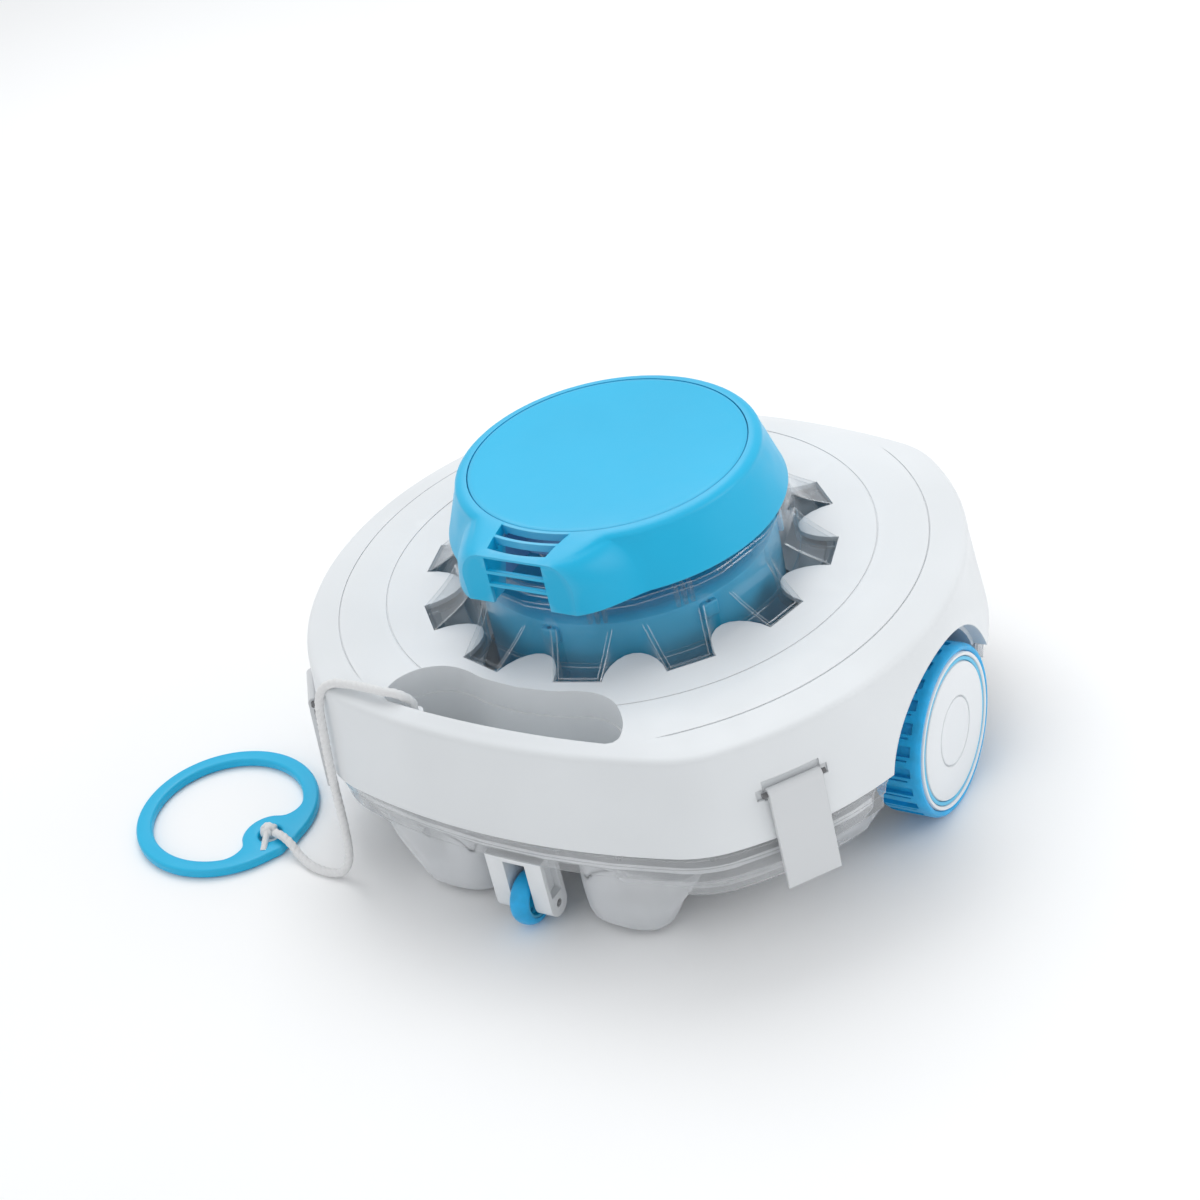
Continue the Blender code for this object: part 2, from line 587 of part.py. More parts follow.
# ------------------------------------------------------------------ tray, seal, filter, scoops, flaps
def build_tray():
    outer = ((-0.0220, 0.0280), (-0.0120, 0.0294), (-0.0090, 0.0335), (0.0005, 0.0490), (0.0035, 0.0704))
    inner = ((-0.0245, 0.0305), (-0.0145, 0.0318), (-0.0116, 0.0352), (-0.0022, 0.0505),
             (0.0022, 0.0800))
    tray = loft("lower_tray", [ring(*section) for section in outer], "clear")
    cavity = loft("tray_cavity", [ring(*section) for section in inner])
    for cutter in well_cutters("tray_wall", TRAY_WELL_X - TRAY_WALL, TRAY_WALL):
        boolean(cavity, cutter)
    boolean(cavity, block("front_bay_wall", (-0.065, -0.210, 0.0), (0.065, -0.1180, BAY_TOP + 0.0025)))
    boolean(cavity, block("rear_bay_wall", (-0.033, 0.1390, 0.0), (0.033, 0.210, BAY_TOP + 0.0025)))
    boolean(tray, cavity)
    for cutter in well_cutters("tray_space", TRAY_WELL_X, 0.0):
        boolean(tray, cutter)
    boolean(tray, block("front_bay", (-0.0625, -0.220, -0.01), (0.0625, -0.1205, BAY_TOP)))
    boolean(tray, block("rear_bay", (-0.0305, 0.1415, -0.01), (0.0305, 0.220, BAY_TOP)))
    for side in (1, -1):
        low, high = sorted((side * 0.032, side * 0.058))
        boolean(tray, block(f"window_{side}", (low, -0.126, 0.0330), (high, -0.110, 0.0460)))
        for index, x in enumerate((0.0270, 0.0610)):
            low, high = sorted((side * x, side * (x + 0.0020)))
            lug = block(f"lug_{side}_{index}", (low, -0.1190, 0.0465), (high, -0.1130, 0.0522))
            boolean(tray, lug, "UNION")
        hole = rod(f"pin_hole_{side}", 0.0013, 0.0250, 0.0650,
                   frame=axis_frame(side, (0, -0.1150, 0.0495)), sides=16)
        boolean(tray, hole)

    seal = plate("tray_seal", [outline(0.0020)], SKIRT_Z + 0.0001, 0.0746, "grey_rubber")
    seal_core = plate("seal_core", [outline(-0.0020)], 0.0650, 0.0800)
    for cutter in well_cutters("seal_in", 0.1426, 0.0074):
        boolean(seal_core, cutter)
    for cutter in well_cutters("seal_out", 0.1466, 0.0034):
        boolean(seal, cutter)
    boolean(seal, seal_core)

    frame = plate("filter_frame", [outline(-0.0021), circle((0, 0), 0.1340, 40)], 0.0529, 0.0570, "white")
    for cutter in well_cutters("filter", 0.1470, 0.0030):
        boolean(frame, cutter)
    rod("filter_mesh", 0.1336, 0.0544, 0.0558, "mesh", sides=40)


def build_scoops():
    for side, name in ((-1, "left"), (1, "right")):
        def span(a, b):
            return sorted((side * a, side * b))

        def corner(x, y, z, index):
            return (x[index], y[index], z[index])

        def piece(label, x, y, z, finish=None, bevel=0.0):
            x = span(*x)
            return block(label, corner(x, y, z, 0), corner(x, y, z, 1), finish, bevel)

        scoop = piece(f"scoop_{name}", (0.028, 0.084), (-0.160, -0.1235), (0.0040, 0.0276), "frosted", 0.008)
        throat = piece(f"throat_{name}", (0.0310, 0.0610), (-0.1565, -0.1208), (0.0262, 0.0497))
        boolean(scoop, throat, "UNION")
        boolean(scoop, piece(f"mouth_{name}", (0.0325, 0.0795), (-0.1555, -0.1280), (-0.002, 0.0246)))
        boolean(scoop, piece(f"passage_{name}", (0.0336, 0.0584), (-0.1539, -0.1100), (0.0218, 0.0465)))

        pivot = (0, -0.1150, 0.0495)
        low, high = span(0.0295, 0.0605)
        barrel = arc((0, 0), 0.0022, 0.0, 180.0, 8)
        leaf = barrel + [(-0.0022, 0.0), (-0.0022, -0.0180), (-0.0007, -0.0180), (0.0022, -0.0010)]
        plate(f"flap_{name}", [leaf, circle((0, 0), 0.00108, 16)], low, high, "grey_rubber",
              section_frame(pivot))
        rod(f"flap_pin_{name}", 0.0010, 0.0272, 0.0628, "steel", axis_frame(side, pivot), 16)


# ------------------------------------------------------------------ side wheels
def build_side_wheels():
    for side, name in ((-1, "left"), (1, "right")):
        place = axis_frame(side, (0, 0, WHEEL_RADIUS))
        lathe(f"tyre_{name}", ((TYRE_SEAT, 0.1885), (0.0470, 0.1889), (0.0484, 0.1876),
                               (WHEEL_RADIUS, 0.1858), (WHEEL_RADIUS, 0.1632), (0.0480, 0.1612),
                               (TYRE_SEAT, 0.1602)), "blue_rubber", place, 48)
        lathe(f"wheel_{name}", ((0.0420, 0.1883), (0.0442, 0.1883), (0.0442, 0.1602), (0.0400, 0.1602),
                                (0.0400, 0.1690), (0.0120, 0.1700), (0.0095, 0.1590),
                                (AXLE_RADIUS + RUNNING, 0.1590), (AXLE_RADIUS + RUNNING, 0.1800),
                                (0.0120, 0.1800), (0.0120, 0.1740), (0.0420, 0.1740)), "white", place)
        lathe(f"hub_cap_{name}", ((0, 0.1891), (0.0175, 0.1893), (0.0190, 0.1885), (0.0205, 0.1892),
                                  (0.0385, 0.1892), (0.0400, 0.1882), (0.0400, 0.1744), (0.0380, 0.1744),
                                  (0.0380, 0.1862), (0, 0.1862)), "white", place)
        lathe(f"axle_{name}", ((0, 0.1840), (0.0070, 0.1840), (0.0075, 0.1835), (0.0075, 0.1804),
                               (AXLE_RADIUS, 0.1804), (AXLE_RADIUS, 0.1512), (0, 0.1512)), "steel", place, 20)
        lathe(f"bush_{name}", ((0.0053, 0.1585), (0.0110, 0.1585), (0.0110, 0.1549), (0.0080, 0.1549),
                               (0.0080, 0.1509), (0.0053, 0.1509)), "dark_plastic", place, 20)


# ------------------------------------------------------------------ small wheels in their forks
def build_small_wheels():
    for sign, name in ((-1, "front"), (1, "rear")):
        place = (0, sign * SMALL_AXLE_Y, SMALL_AXLE_Z)
        top = BAY_TOP - GAP - SMALL_AXLE_Z
        shape = arc((0, 0), FORK_RADIUS, 180.0, 360.0, 10) + [(FORK_RADIUS, 0.0), (FORK_RADIUS, top),
                                                             (-FORK_RADIUS, top)]
        fork = plate(f"{name}_fork", [shape, circle((0, 0), SMALL_AXLE + GAP, 20)], -FORK_HALF, FORK_HALF,
                     "white", section_frame(place))
        boolean(fork, block(f"{name}_fork_slot", (-FORK_SLOT, place[1] - 0.020, -0.010),
                            (FORK_SLOT, place[1] + 0.020, 0.0342)))
        lathe(f"{name}_wheel", ((0.00208, 0.0056), (0.0046, 0.0056), (0.0046, 0.0036), (0.0110, 0.0036),
                                (0.0110, -0.0036), (0.0046, -0.0036), (0.0046, -0.0056),
                                (0.00208, -0.0056)), "blue", axis_frame(1, place), 24)
        lathe(f"{name}_tyre", ((0.0113, 0.0058), (0.0142, 0.0058), (SMALL_RADIUS, 0.0034),
                               (SMALL_RADIUS, -0.0034), (0.0142, -0.0058),
                               (0.0113, -0.0058)), "blue_rubber", axis_frame(1, place), 32)
        rod(f"{name}_axle", SMALL_AXLE, -FORK_HALF, FORK_HALF, "steel", axis_frame(1, place))


# ------------------------------------------------------------------ latches
def build_latches():
    half = LATCH_WIDTH / 2
    for angle, name in ((LATCH_ANGLE, "right"), (180 - LATCH_ANGLE, "left")):
        place = radial_frame(angle, LATCH_PIN_R, LATCH_PIN_Z)
        shape = arc((0, 0), LATCH_BARREL, 0.0, 270.0, 14)
        shape += [(0.0002, -LATCH_BARREL), (0.0011, -0.0050), (0.0046, -0.0586), (0.0053, -0.0594),
                  (0.0066, -0.0594), (0.0070, -0.0588)]
        plate(f"latch_{name}", [shape, circle((0, 0), LATCH_PIN_RADIUS + 0.00006, 24)], -half, half,
              "white", place)
        rod(f"latch_pin_{name}", LATCH_PIN_RADIUS, -0.0182, 0.0182, "dark_plastic", place, 24)


# ------------------------------------------------------------------ rear controls
def build_controls():
    at_button = rear_frame(0.025, 0.100)
    lathe("power_button", ((0, 0.1726), (0.0065, 0.1724), (0.0075, 0.1716), (0.0075, 0.1600),
                           (0, 0.1600)), "blue", at_button, 24)
    lathe("button_seal", ((0.00758, 0.1738), (0.0103, 0.1738), (0.0103, 0.1650),
                          (0.00758, 0.1650)), "grey_rubber", at_button, 24)
    lathe("charge_socket", ((0.0035, 0.1724), (0.0065, 0.1724), (0.0065, 0.1580), (0, 0.1580),
                            (0, 0.1640), (0.0035, 0.1640)), "dark_plastic", rear_frame(-0.025, 0.100), 20)
    hinge = (-0.025, 0.1744, 0.1105)
    shape = arc((0, 0), 0.0014, 0.0, 180.0, 6) + [(-0.0014, 0.0), (-0.0014, -0.0200), (0.0014, -0.0200)]
    plate("charge_cap", [shape], -0.0090, 0.0090, "grey_rubber", section_frame(hinge))


# ------------------------------------------------------------------ cord, knot and ring
def build_cord():
    x, y, z = CORD_ROUTE[0]
    rod("cord_anchor", 0.0050, RECESS_FLOOR + GAP, z - 3 * GAP, "white",
        Matrix.Translation((x, y, 0)), 24)
    curve = bpy.data.curves.new("cord", "CURVE")
    curve.dimensions = "3D"
    curve.bevel_depth = CORD_DIAMETER / 2
    curve.bevel_resolution = 2
    curve.use_fill_caps = True
    route = smooth_route(CORD_ROUTE, CORD_STEP)
    spline = curve.splines.new("POLY")
    spline.points.add(len(route) - 1)
    for point, place in zip(spline.points, route):
        point.co = (*place, 1.0)
    as_mesh(add_object("cord", curve, "cord"))

    turn = Matrix.Translation((*RING_CENTRE, 0)) @ Matrix.Rotation(math.radians(RING_TURN), 4, "Z")
    low, high = 0.0001, 0.0001 + RING_THICK
    loops = []
    for inset in (0.0, RING_BAND):
        loops.append([(x * (RING_HALF_LONG - inset), y * (RING_HALF_SHORT - inset))
                      for x, y in circle((0, 0), 1.0, 40)])
    band = plate("pickup_ring", loops, low, high, "blue", turn)
    eyelet = turn @ Matrix.Translation((EYELET_REACH, 0, 0))
    boolean(band, rod("eyelet", EYELET_RADIUS, low + 0.0001, high - 0.0001, frame=eyelet, sides=28), "UNION")
    boolean(band, rod("eyelet_hole", EYELET_HOLE, -0.01, 0.02, frame=eyelet, sides=20))

    mesh = bpy.data.meshes.new("cord_knot")
    work = bmesh.new()
    bmesh.ops.create_uvsphere(work, u_segments=12, v_segments=8, radius=0.0060)
    work.to_mesh(mesh)
    work.free()
    mesh.shade_smooth()
    knot = add_object("cord_knot", mesh, "cord")
    knot.location = eyelet @ Vector((0, 0, 0.0075))


build_shell()
build_crown()
build_cap()
build_inside()
build_tray()
build_scoops()
build_side_wheels()
build_small_wheels()
build_latches()
build_controls()
build_cord()
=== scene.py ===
"""Looks of the battery pool cleaner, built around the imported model."""
import math

import bmesh
import bpy
from mathutils import Matrix, Vector


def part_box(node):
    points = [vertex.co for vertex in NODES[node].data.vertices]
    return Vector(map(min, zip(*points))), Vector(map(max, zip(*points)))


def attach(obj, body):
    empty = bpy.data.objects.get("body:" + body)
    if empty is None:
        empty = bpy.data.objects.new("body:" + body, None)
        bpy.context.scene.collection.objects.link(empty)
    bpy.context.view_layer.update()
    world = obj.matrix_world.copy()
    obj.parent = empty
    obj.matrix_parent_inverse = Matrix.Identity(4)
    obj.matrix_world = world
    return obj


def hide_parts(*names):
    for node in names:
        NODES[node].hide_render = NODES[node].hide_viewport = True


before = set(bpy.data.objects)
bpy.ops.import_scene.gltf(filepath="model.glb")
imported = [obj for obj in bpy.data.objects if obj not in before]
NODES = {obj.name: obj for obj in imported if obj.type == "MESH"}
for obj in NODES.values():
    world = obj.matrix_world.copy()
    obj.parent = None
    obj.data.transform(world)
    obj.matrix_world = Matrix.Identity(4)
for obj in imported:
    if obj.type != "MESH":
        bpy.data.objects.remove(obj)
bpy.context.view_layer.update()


def middle(node):
    """Centre of a node's box at rest, to the micrometre."""
    return tuple(round((low + high) / 2, 6) for low, high in zip(*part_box(node)))


WHEEL_HEIGHT = middle("tyre_right")[2]


# ------------------ camera
CAMERA_ANGLES = (36.626, 33.444, 13.078)
CAMERA_LENS = 69.59
CAMERA_BACK, CAMERA_RIGHT, CAMERA_UP = 1.33804, -0.02196, 0.0093
CAMERA_TARGET = (0, 0, 0.10)


def add_camera():
    """Camera turned to the object's right, looking down and rolled."""
    azimuth, elevation, roll = (math.radians(a) for a in CAMERA_ANGLES)
    right = Vector((math.cos(azimuth), math.sin(azimuth), 0.0))
    up = Vector((-math.sin(azimuth) * math.sin(elevation), math.cos(azimuth) * math.sin(elevation),
                 math.cos(elevation)))
    back = Vector((math.sin(azimuth) * math.cos(elevation), -math.cos(azimuth) * math.cos(elevation),
                   math.sin(elevation)))
    across = right * math.cos(roll) - up * math.sin(roll)
    upright = right * math.sin(roll) + up * math.cos(roll)
    place = Vector(CAMERA_TARGET) + back * CAMERA_BACK + right * CAMERA_RIGHT + up * CAMERA_UP
    data = bpy.data.cameras.new("camera")
    data.lens = CAMERA_LENS
    data.sensor_width = 36.0
    camera = bpy.data.objects.new("camera", data)
    turn = Matrix((across, upright, back)).transposed().to_4x4()
    camera.matrix_world = Matrix.Translation(place) @ turn
    bpy.context.collection.objects.link(camera)
    bpy.context.scene.camera = camera


add_camera()


# ------------------ materials
class Nodes:
    """Small helper around one material's node tree."""

    def __init__(self, name):
        self.material = bpy.data.materials.new(name)
        self.material.use_nodes = True
        self.tree = self.material.node_tree
        self.shader = self.tree.nodes["Principled BSDF"]

    def add(self, kind, **values):
        node = self.tree.nodes.new(kind)
        for key, value in values.items():
            if key in node.inputs:
                node.inputs[key].default_value = value
            else:
                setattr(node, key, value)
        return node

    def link(self, source, target):
        self.tree.links.new(source, target)

    def noise(self, scale, detail=3.0, stretch=None):
        """Noise in object space, stretched along an axis if asked."""
        place = self.add("ShaderNodeTexCoord").outputs["Object"]
        if stretch:
            mapping = self.add("ShaderNodeMapping", Scale=stretch)
            self.link(place, mapping.inputs["Vector"])
            place = mapping.outputs["Vector"]
        noise = self.add("ShaderNodeTexNoise", Scale=scale, Detail=detail)
        self.link(place, noise.inputs["Vector"])
        return noise.outputs["Fac"]

    def spread(self, fac, low, high):
        """Map a factor onto a range of values."""
        node = self.add("ShaderNodeMapRange", **{"From Min": 0.3, "From Max": 0.7, "To Min": low,
                                                "To Max": high})
        self.link(fac, node.inputs["Value"])
        return node.outputs["Result"]

    def ramp(self, fac, first, last, low=0.35, high=0.65):
        node = self.add("ShaderNodeValToRGB")
        node.color_ramp.elements[0].position = low
        node.color_ramp.elements[1].position = high
        node.color_ramp.elements[0].color = (*first, 1.0)
        node.color_ramp.elements[1].color = (*last, 1.0)
        self.link(fac, node.inputs["Fac"])
        return node.outputs["Color"]

    def bump(self, fac, strength, distance=0.0002, normal=None):
        node = self.add("ShaderNodeBump", Strength=strength, Distance=distance)
        self.link(fac, node.inputs["Height"])
        if normal is not None:
            self.link(normal, node.inputs["Normal"])
        return node.outputs["Normal"]

    def rounded(self, radius):
        """Normal that rounds the piece's sharp edges."""
        return self.add("ShaderNodeBevel", samples=4, Radius=radius).outputs["Normal"]


def shade(colour, factor):
    return tuple(min(1.0, c * factor) for c in colour)


def plastic(name, colour, roughness, grain=2600.0, relief=0.10, edge=0.0006, specular=0.5, coat=0.0):
    """Moulded plastic: faint flow marks, a fine grain, a painted highlight on sharp convex edges, and
    rounded edges.
    """
    n = Nodes(name)
    n.shader.inputs["Specular IOR Level"].default_value = specular
    n.shader.inputs["Coat Weight"].default_value = coat
    n.shader.inputs["Coat Roughness"].default_value = 0.12
    flow = n.noise(9.0, 2.0)
    tone = n.ramp(flow, shade(colour, 0.965), shade(colour, 1.03))
    geometry = n.add("ShaderNodeNewGeometry")
    # painted highlight: the colour turns lighter towards white on sharp convex edges
    edge_highlight = n.add("ShaderNodeMapRange", **{"From Min": 0.515, "From Max": 0.60, "To Max": 0.35})
    n.link(geometry.outputs["Pointiness"], edge_highlight.inputs["Value"])
    mix = n.add("ShaderNodeMix", data_type="RGBA")
    n.link(edge_highlight.outputs["Result"], mix.inputs[0])
    n.link(tone, mix.inputs[6])
    mix.inputs[7].default_value = (*[c + (1 - c) * 0.35 for c in colour], 1.0)
    n.link(mix.outputs[2], n.shader.inputs["Base Color"])
    n.link(n.spread(n.noise(60.0, 4.0), roughness - 0.05, roughness + 0.06), n.shader.inputs["Roughness"])
    n.link(n.bump(n.noise(grain, 2.0), relief, 0.00006, n.rounded(edge)), n.shader.inputs["Normal"])
    return n.material


def clear(name, tint, roughness=0.04, body=0.02, edge=0.75, milk=0.0, glint=0.62):
    """Thin clear plastic: see-through face on, mirror-like towards its edges, hazed by some milk."""
    n = Nodes(name)
    n.shader.inputs["Metallic"].default_value = 1.0 - milk
    streak = n.noise(30.0, 3.0, (1.0, 1.0, 0.25))
    n.link(n.ramp(streak, (0.84, 0.86, 0.88), (0.92, 0.93, 0.95)), n.shader.inputs["Base Color"])
    n.link(n.spread(n.noise(90.0, 3.0), max(0.0, roughness - 0.02), roughness + 0.04),
           n.shader.inputs["Roughness"])
    relief = n.bump(n.noise(14.0, 2.0), 0.15, 0.0006, n.rounded(0.0014))
    n.link(relief, n.shader.inputs["Normal"])
    through = n.add("ShaderNodeBsdfTransparent")
    n.link(n.ramp(streak, shade(tint, 0.97), shade(tint, 1.02)), through.inputs["Color"])
    facing = n.add("ShaderNodeLayerWeight", Blend=0.30)
    n.link(relief, facing.inputs["Normal"])
    amount = n.add("ShaderNodeMapRange", interpolation_type="SMOOTHSTEP",
                   **{"From Min": 0.15, "To Min": body, "To Max": edge})
    n.link(facing.outputs["Facing"], amount.inputs["Value"])
    alike = n.add("ShaderNodeVectorMath", operation="DOT_PRODUCT")
    n.link(n.rounded(0.0011), alike.inputs[0])
    n.link(n.add("ShaderNodeNewGeometry").outputs["Normal"], alike.inputs[1])
    corner = n.add("ShaderNodeMapRange", **{"From Min": 0.99, "From Max": 0.86, "To Max": glint})
    n.link(alike.outputs["Value"], corner.inputs["Value"])
    larger = n.add("ShaderNodeMath", operation="MAXIMUM")
    n.link(amount.outputs["Result"], larger.inputs[0])
    n.link(corner.outputs["Result"], larger.inputs[1])
    mix = n.add("ShaderNodeMixShader")
    n.link(larger.outputs[0], mix.inputs[0])
    n.link(through.outputs[0], mix.inputs[1])
    n.link(n.shader.outputs[0], mix.inputs[2])
    n.link(mix.outputs[0], n.tree.nodes["Material Output"].inputs["Surface"])
    return n.material


def rubber(name, colour, roughness=0.55):
    """Matt rubber with a fine grain."""
    n = Nodes(name)
    n.link(n.ramp(n.noise(120.0, 3.0), shade(colour, 0.90), shade(colour, 1.06)),
           n.shader.inputs["Base Color"])
    n.link(n.spread(n.noise(500.0, 2.0), roughness - 0.08, roughness + 0.08), n.shader.inputs["Roughness"])
    n.link(n.bump(n.noise(1800.0, 2.0), 0.25, 0.0001, n.rounded(0.0005)), n.shader.inputs["Normal"])
    n.shader.inputs["Sheen Weight"].default_value = 0.08
    return n.material


def metal(name, colour, roughness=0.25):
    """Brushed metal with streaks along its length."""
    n = Nodes(name)
    n.shader.inputs["Metallic"].default_value = 1.0
    streak = n.noise(400.0, 3.0, (0.05, 1.0, 1.0))
    n.link(n.ramp(streak, shade(colour, 0.85), shade(colour, 1.05)), n.shader.inputs["Base Color"])
    n.link(n.spread(streak, roughness - 0.06, roughness + 0.12), n.shader.inputs["Roughness"])
    n.link(n.bump(streak, 0.15, 0.00005), n.shader.inputs["Normal"])
    return n.material


def woven(name, colour, scale, depth=0.0004, gap_shade=0.55):
    """Fine square weave from two crossed waves, with painted shade in the gaps between threads and a slight
    painted highlight on their crossings.
    """
    n = Nodes(name)
    place = n.add("ShaderNodeTexCoord").outputs["Object"]
    waves = []
    for direction in ("X", "Y"):
        wave = n.add("ShaderNodeTexWave", bands_direction=direction, Scale=scale, Distortion=0.3)
        n.link(place, wave.inputs["Vector"])
        waves.append(wave.outputs["Fac"])
    cross = n.add("ShaderNodeMath", operation="MULTIPLY")
    n.link(waves[0], cross.inputs[0])
    n.link(waves[1], cross.inputs[1])
    weave = cross.outputs[0]
    # painted shade in the gaps of the weave, painted highlight on the raised crossings
    n.link(n.ramp(weave, shade(colour, gap_shade), shade(colour, 1.1), 0.1, 0.6), n.shader.inputs["Base Color"])
    n.link(n.bump(weave, 0.8, depth), n.shader.inputs["Normal"])
    n.shader.inputs["Roughness"].default_value = 0.7
    return n.material


WHITE = (0.74, 0.76, 0.775)
BLUE = (0.004, 0.45, 0.74)
MATERIALS = {
    "white": plastic("white_plastic", WHITE, 0.42),
    "hub_white": plastic("hub_white_plastic", (0.76, 0.78, 0.80), 0.40),
    "inner_white": plastic("inner_white_plastic", (0.76, 0.78, 0.80), 0.50),
    "blue": plastic("blue_plastic", BLUE, 0.36, specular=0.4),
    # darker copy of the blue plastic: painted shade for the duct parts inside the nozzle
    "shaded_blue": plastic("shaded_blue_plastic", (0.008, 0.22, 0.52), 0.40),
    "clear": clear("clear_plastic", (0.945, 0.96, 0.97), milk=0.15),
    "tray": clear("tray_plastic", (0.96, 0.96, 0.96), 0.10, 0.14, 0.75, 0.85),
    "frosted": clear("frosted_plastic", (0.90, 0.91, 0.92), 0.35, 0.55, 0.90, 0.8),
    "blue_rubber": rubber("blue_rubber", (0.004, 0.40, 0.78), 0.45),
    "dark_rubber": rubber("dark_rubber", (0.055, 0.055, 0.06)),
    "dark": plastic("dark_plastic", (0.04, 0.04, 0.045), 0.45),
    "steel": metal("stainless_steel", (0.62, 0.62, 0.63)),
    "board": plastic("board_laminate", (0.02, 0.17, 0.07), 0.35),
    # filter mesh and cord: weave with painted shade in the gaps between threads, faint on the cord
    "mesh": woven("filter_weave", (0.70, 0.74, 0.76), 900.0),
    "cord": woven("cord_fibre", (0.86, 0.86, 0.86), 1400.0, 0.0001, 0.9),
    "latch": plastic("latch_plastic", (0.60, 0.615, 0.63), 0.38),
}


# ------------------ mesh helpers
def finish_mesh(name, work, material, sharp=35.0):
    """Turn a bmesh into a smooth-shaded object with one material."""
    bmesh.ops.recalc_face_normals(work, faces=work.faces)
    if work.calc_volume(signed=True) < 0:
        bmesh.ops.reverse_faces(work, faces=work.faces)
    mesh = bpy.data.meshes.new(name)
    work.to_mesh(mesh)
    work.free()
    mesh.shade_smooth()
    mesh.set_sharp_from_angle(angle=math.radians(sharp))
    obj = bpy.data.objects.new(name, mesh)
    bpy.context.collection.objects.link(obj)
    if material:
        mesh.materials.append(MATERIALS[material])
    return obj


def loft(name, rings, material=None, close=False, sharp=35.0, place=None):
    """Skin through rings of equal point count; capped flat, or joined end to start."""
    work = bmesh.new()
    rows = [[work.verts.new(point) for point in ring] for ring in rings]
    count = len(rings[0])
    pairs = list(zip(rows, rows[1:]))
    if close:
        pairs.append((rows[-1], rows[0]))
    for lower, upper in pairs:
        for i in range(count):
            j = (i + 1) % count
            work.faces.new((lower[i], lower[j], upper[j], upper[i]))
    if not close:
        work.faces.new(list(reversed(rows[0])))
        work.faces.new(rows[-1])
    if place is not None:
        bmesh.ops.transform(work, matrix=place, verts=work.verts)
    return finish_mesh(name, work, material, sharp)


def turned(name, profile, material=None, place=None, steps=96, sharp=35.0):
    """Turned solid from a closed profile of (radius, height) points, clear of the axis or ending on it."""
    work = bmesh.new()
    open_ends = profile[0][0] == 0.0
    rows = []
    for radius, height in profile:
        if radius == 0.0:
            rows.append([work.verts.new((0.0, 0.0, height))])
            continue
        rows.append([work.verts.new((radius * math.cos(2 * math.pi * k / steps),
                                     radius * math.sin(2 * math.pi * k / steps), height))
                     for k in range(steps)])
    pairs = list(zip(rows, rows[1:]))
    if not open_ends:
        pairs.append((rows[-1], rows[0]))
    for a, b in pairs:
        for k in range(steps):
            j = (k + 1) % steps
            corners = [a[k % len(a)], a[j % len(a)], b[j % len(b)], b[k % len(b)]]
            unique = list(dict.fromkeys(corners))
            if len(unique) > 2:
                work.faces.new(unique)
    if place is not None:
        bmesh.ops.transform(work, matrix=place, verts=work.verts)
    return finish_mesh(name, work, material, sharp)


def extruded(name, outline_points, low, high, material=None, place=None):
    """Solid of one outline between two heights of its own frame."""
    rings = [[(x, y, z) for x, y in outline_points] for z in (low, high)]
    return loft(name, rings, material, place=place)


def rod(name, radius, low, high, place=None, steps=96):
    """Round bar along its frame's Z, used as a cutter."""
    return turned(name, ((0, high), (radius, high), (radius, low), (0, low)), None, place, steps)


def boxed(name, low, high, material=None, place=None, bevel=0.0):
    """Box between two corners, with rounded edges if asked."""
    work = bmesh.new()
    bmesh.ops.create_cube(work, size=1.0)
    bmesh.ops.scale(work, vec=[b - a for a, b in zip(low, high)], verts=work.verts)
    bmesh.ops.translate(work, vec=[(a + b) / 2 for a, b in zip(low, high)], verts=work.verts)
    if bevel:
        bmesh.ops.bevel(work, geom=work.edges[:], offset=bevel, segments=3, profile=0.5, affect="EDGES")
    if place is not None:
        bmesh.ops.transform(work, matrix=place, verts=work.verts)
    return finish_mesh(name, work, material)


def boolean(obj, *tools, operation="DIFFERENCE", tangled=False):
    """Cut or join with each tool in turn, apply the result, and remove the tools."""
    for tool in tools:
        modifier = obj.modifiers.new("cut", "BOOLEAN")
        modifier.operation = operation
        modifier.solver = "EXACT"
        modifier.use_self = tangled
        modifier.object = tool
    bpy.context.view_layer.update()
    evaluated = obj.evaluated_get(bpy.context.evaluated_depsgraph_get())
    mesh = bpy.data.meshes.new_from_object(evaluated)
    obj.modifiers.clear()
    old = obj.data
    obj.data = mesh
    bpy.data.meshes.remove(old)
    for tool in tools:
        bpy.data.objects.remove(tool, do_unlink=True)
    mesh.shade_smooth()
    mesh.set_sharp_from_angle(angle=math.radians(30))


def joined(name, objects):
    """One object from several of one material."""
    work = bmesh.new()
    materials = list(objects[0].data.materials)
    for obj in objects:
        work.from_mesh(obj.data)
        bpy.data.objects.remove(obj, do_unlink=True)
    mesh = bpy.data.meshes.new(name)
    work.to_mesh(mesh)
    work.free()
    for material in materials:
        mesh.materials.append(material)
    whole = bpy.data.objects.new(name, mesh)
    bpy.context.collection.objects.link(whole)
    return whole


# ------------------ outlines and frames
def arc(centre, radius, start, end, steps):
    angles = [math.radians(start + (end - start) * i / steps) for i in range(steps)]
    return [(centre[0] + radius * math.cos(a), centre[1] + radius * math.sin(a)) for a in angles]


def outline(offset, fine=4):
    """Plan outline of the body moved outwards by the offset."""
    reach, corner, end_radius, end_centre = 0.130, 0.060, 0.420, 0.252
    corner_y = ((end_radius - corner) ** 2 - reach ** 2 - end_centre ** 2) / (2 * end_centre)
    corner_x = math.sqrt(reach ** 2 - corner_y ** 2)
    side = math.degrees(math.atan2(corner_y, corner_x))
    end = math.degrees(math.atan2(corner_y + end_centre, corner_x))
    points = []
    for half, sign in ((0.0, 1), (180.0, -1)):
        points += arc((0, 0), 0.190 + offset, half - side, half + side, 12 * fine)
        points += arc((sign * corner_x, sign * corner_y), corner + offset, half + side, half + end,
                      4 * fine)
        points += arc((0, -sign * end_centre), end_radius + offset, half + end, half + 180 - end, 6 * fine)
        points += arc((-sign * corner_x, sign * corner_y), corner + offset, half + 180 - end,
                      half + 180 - side, 4 * fine)
    return points


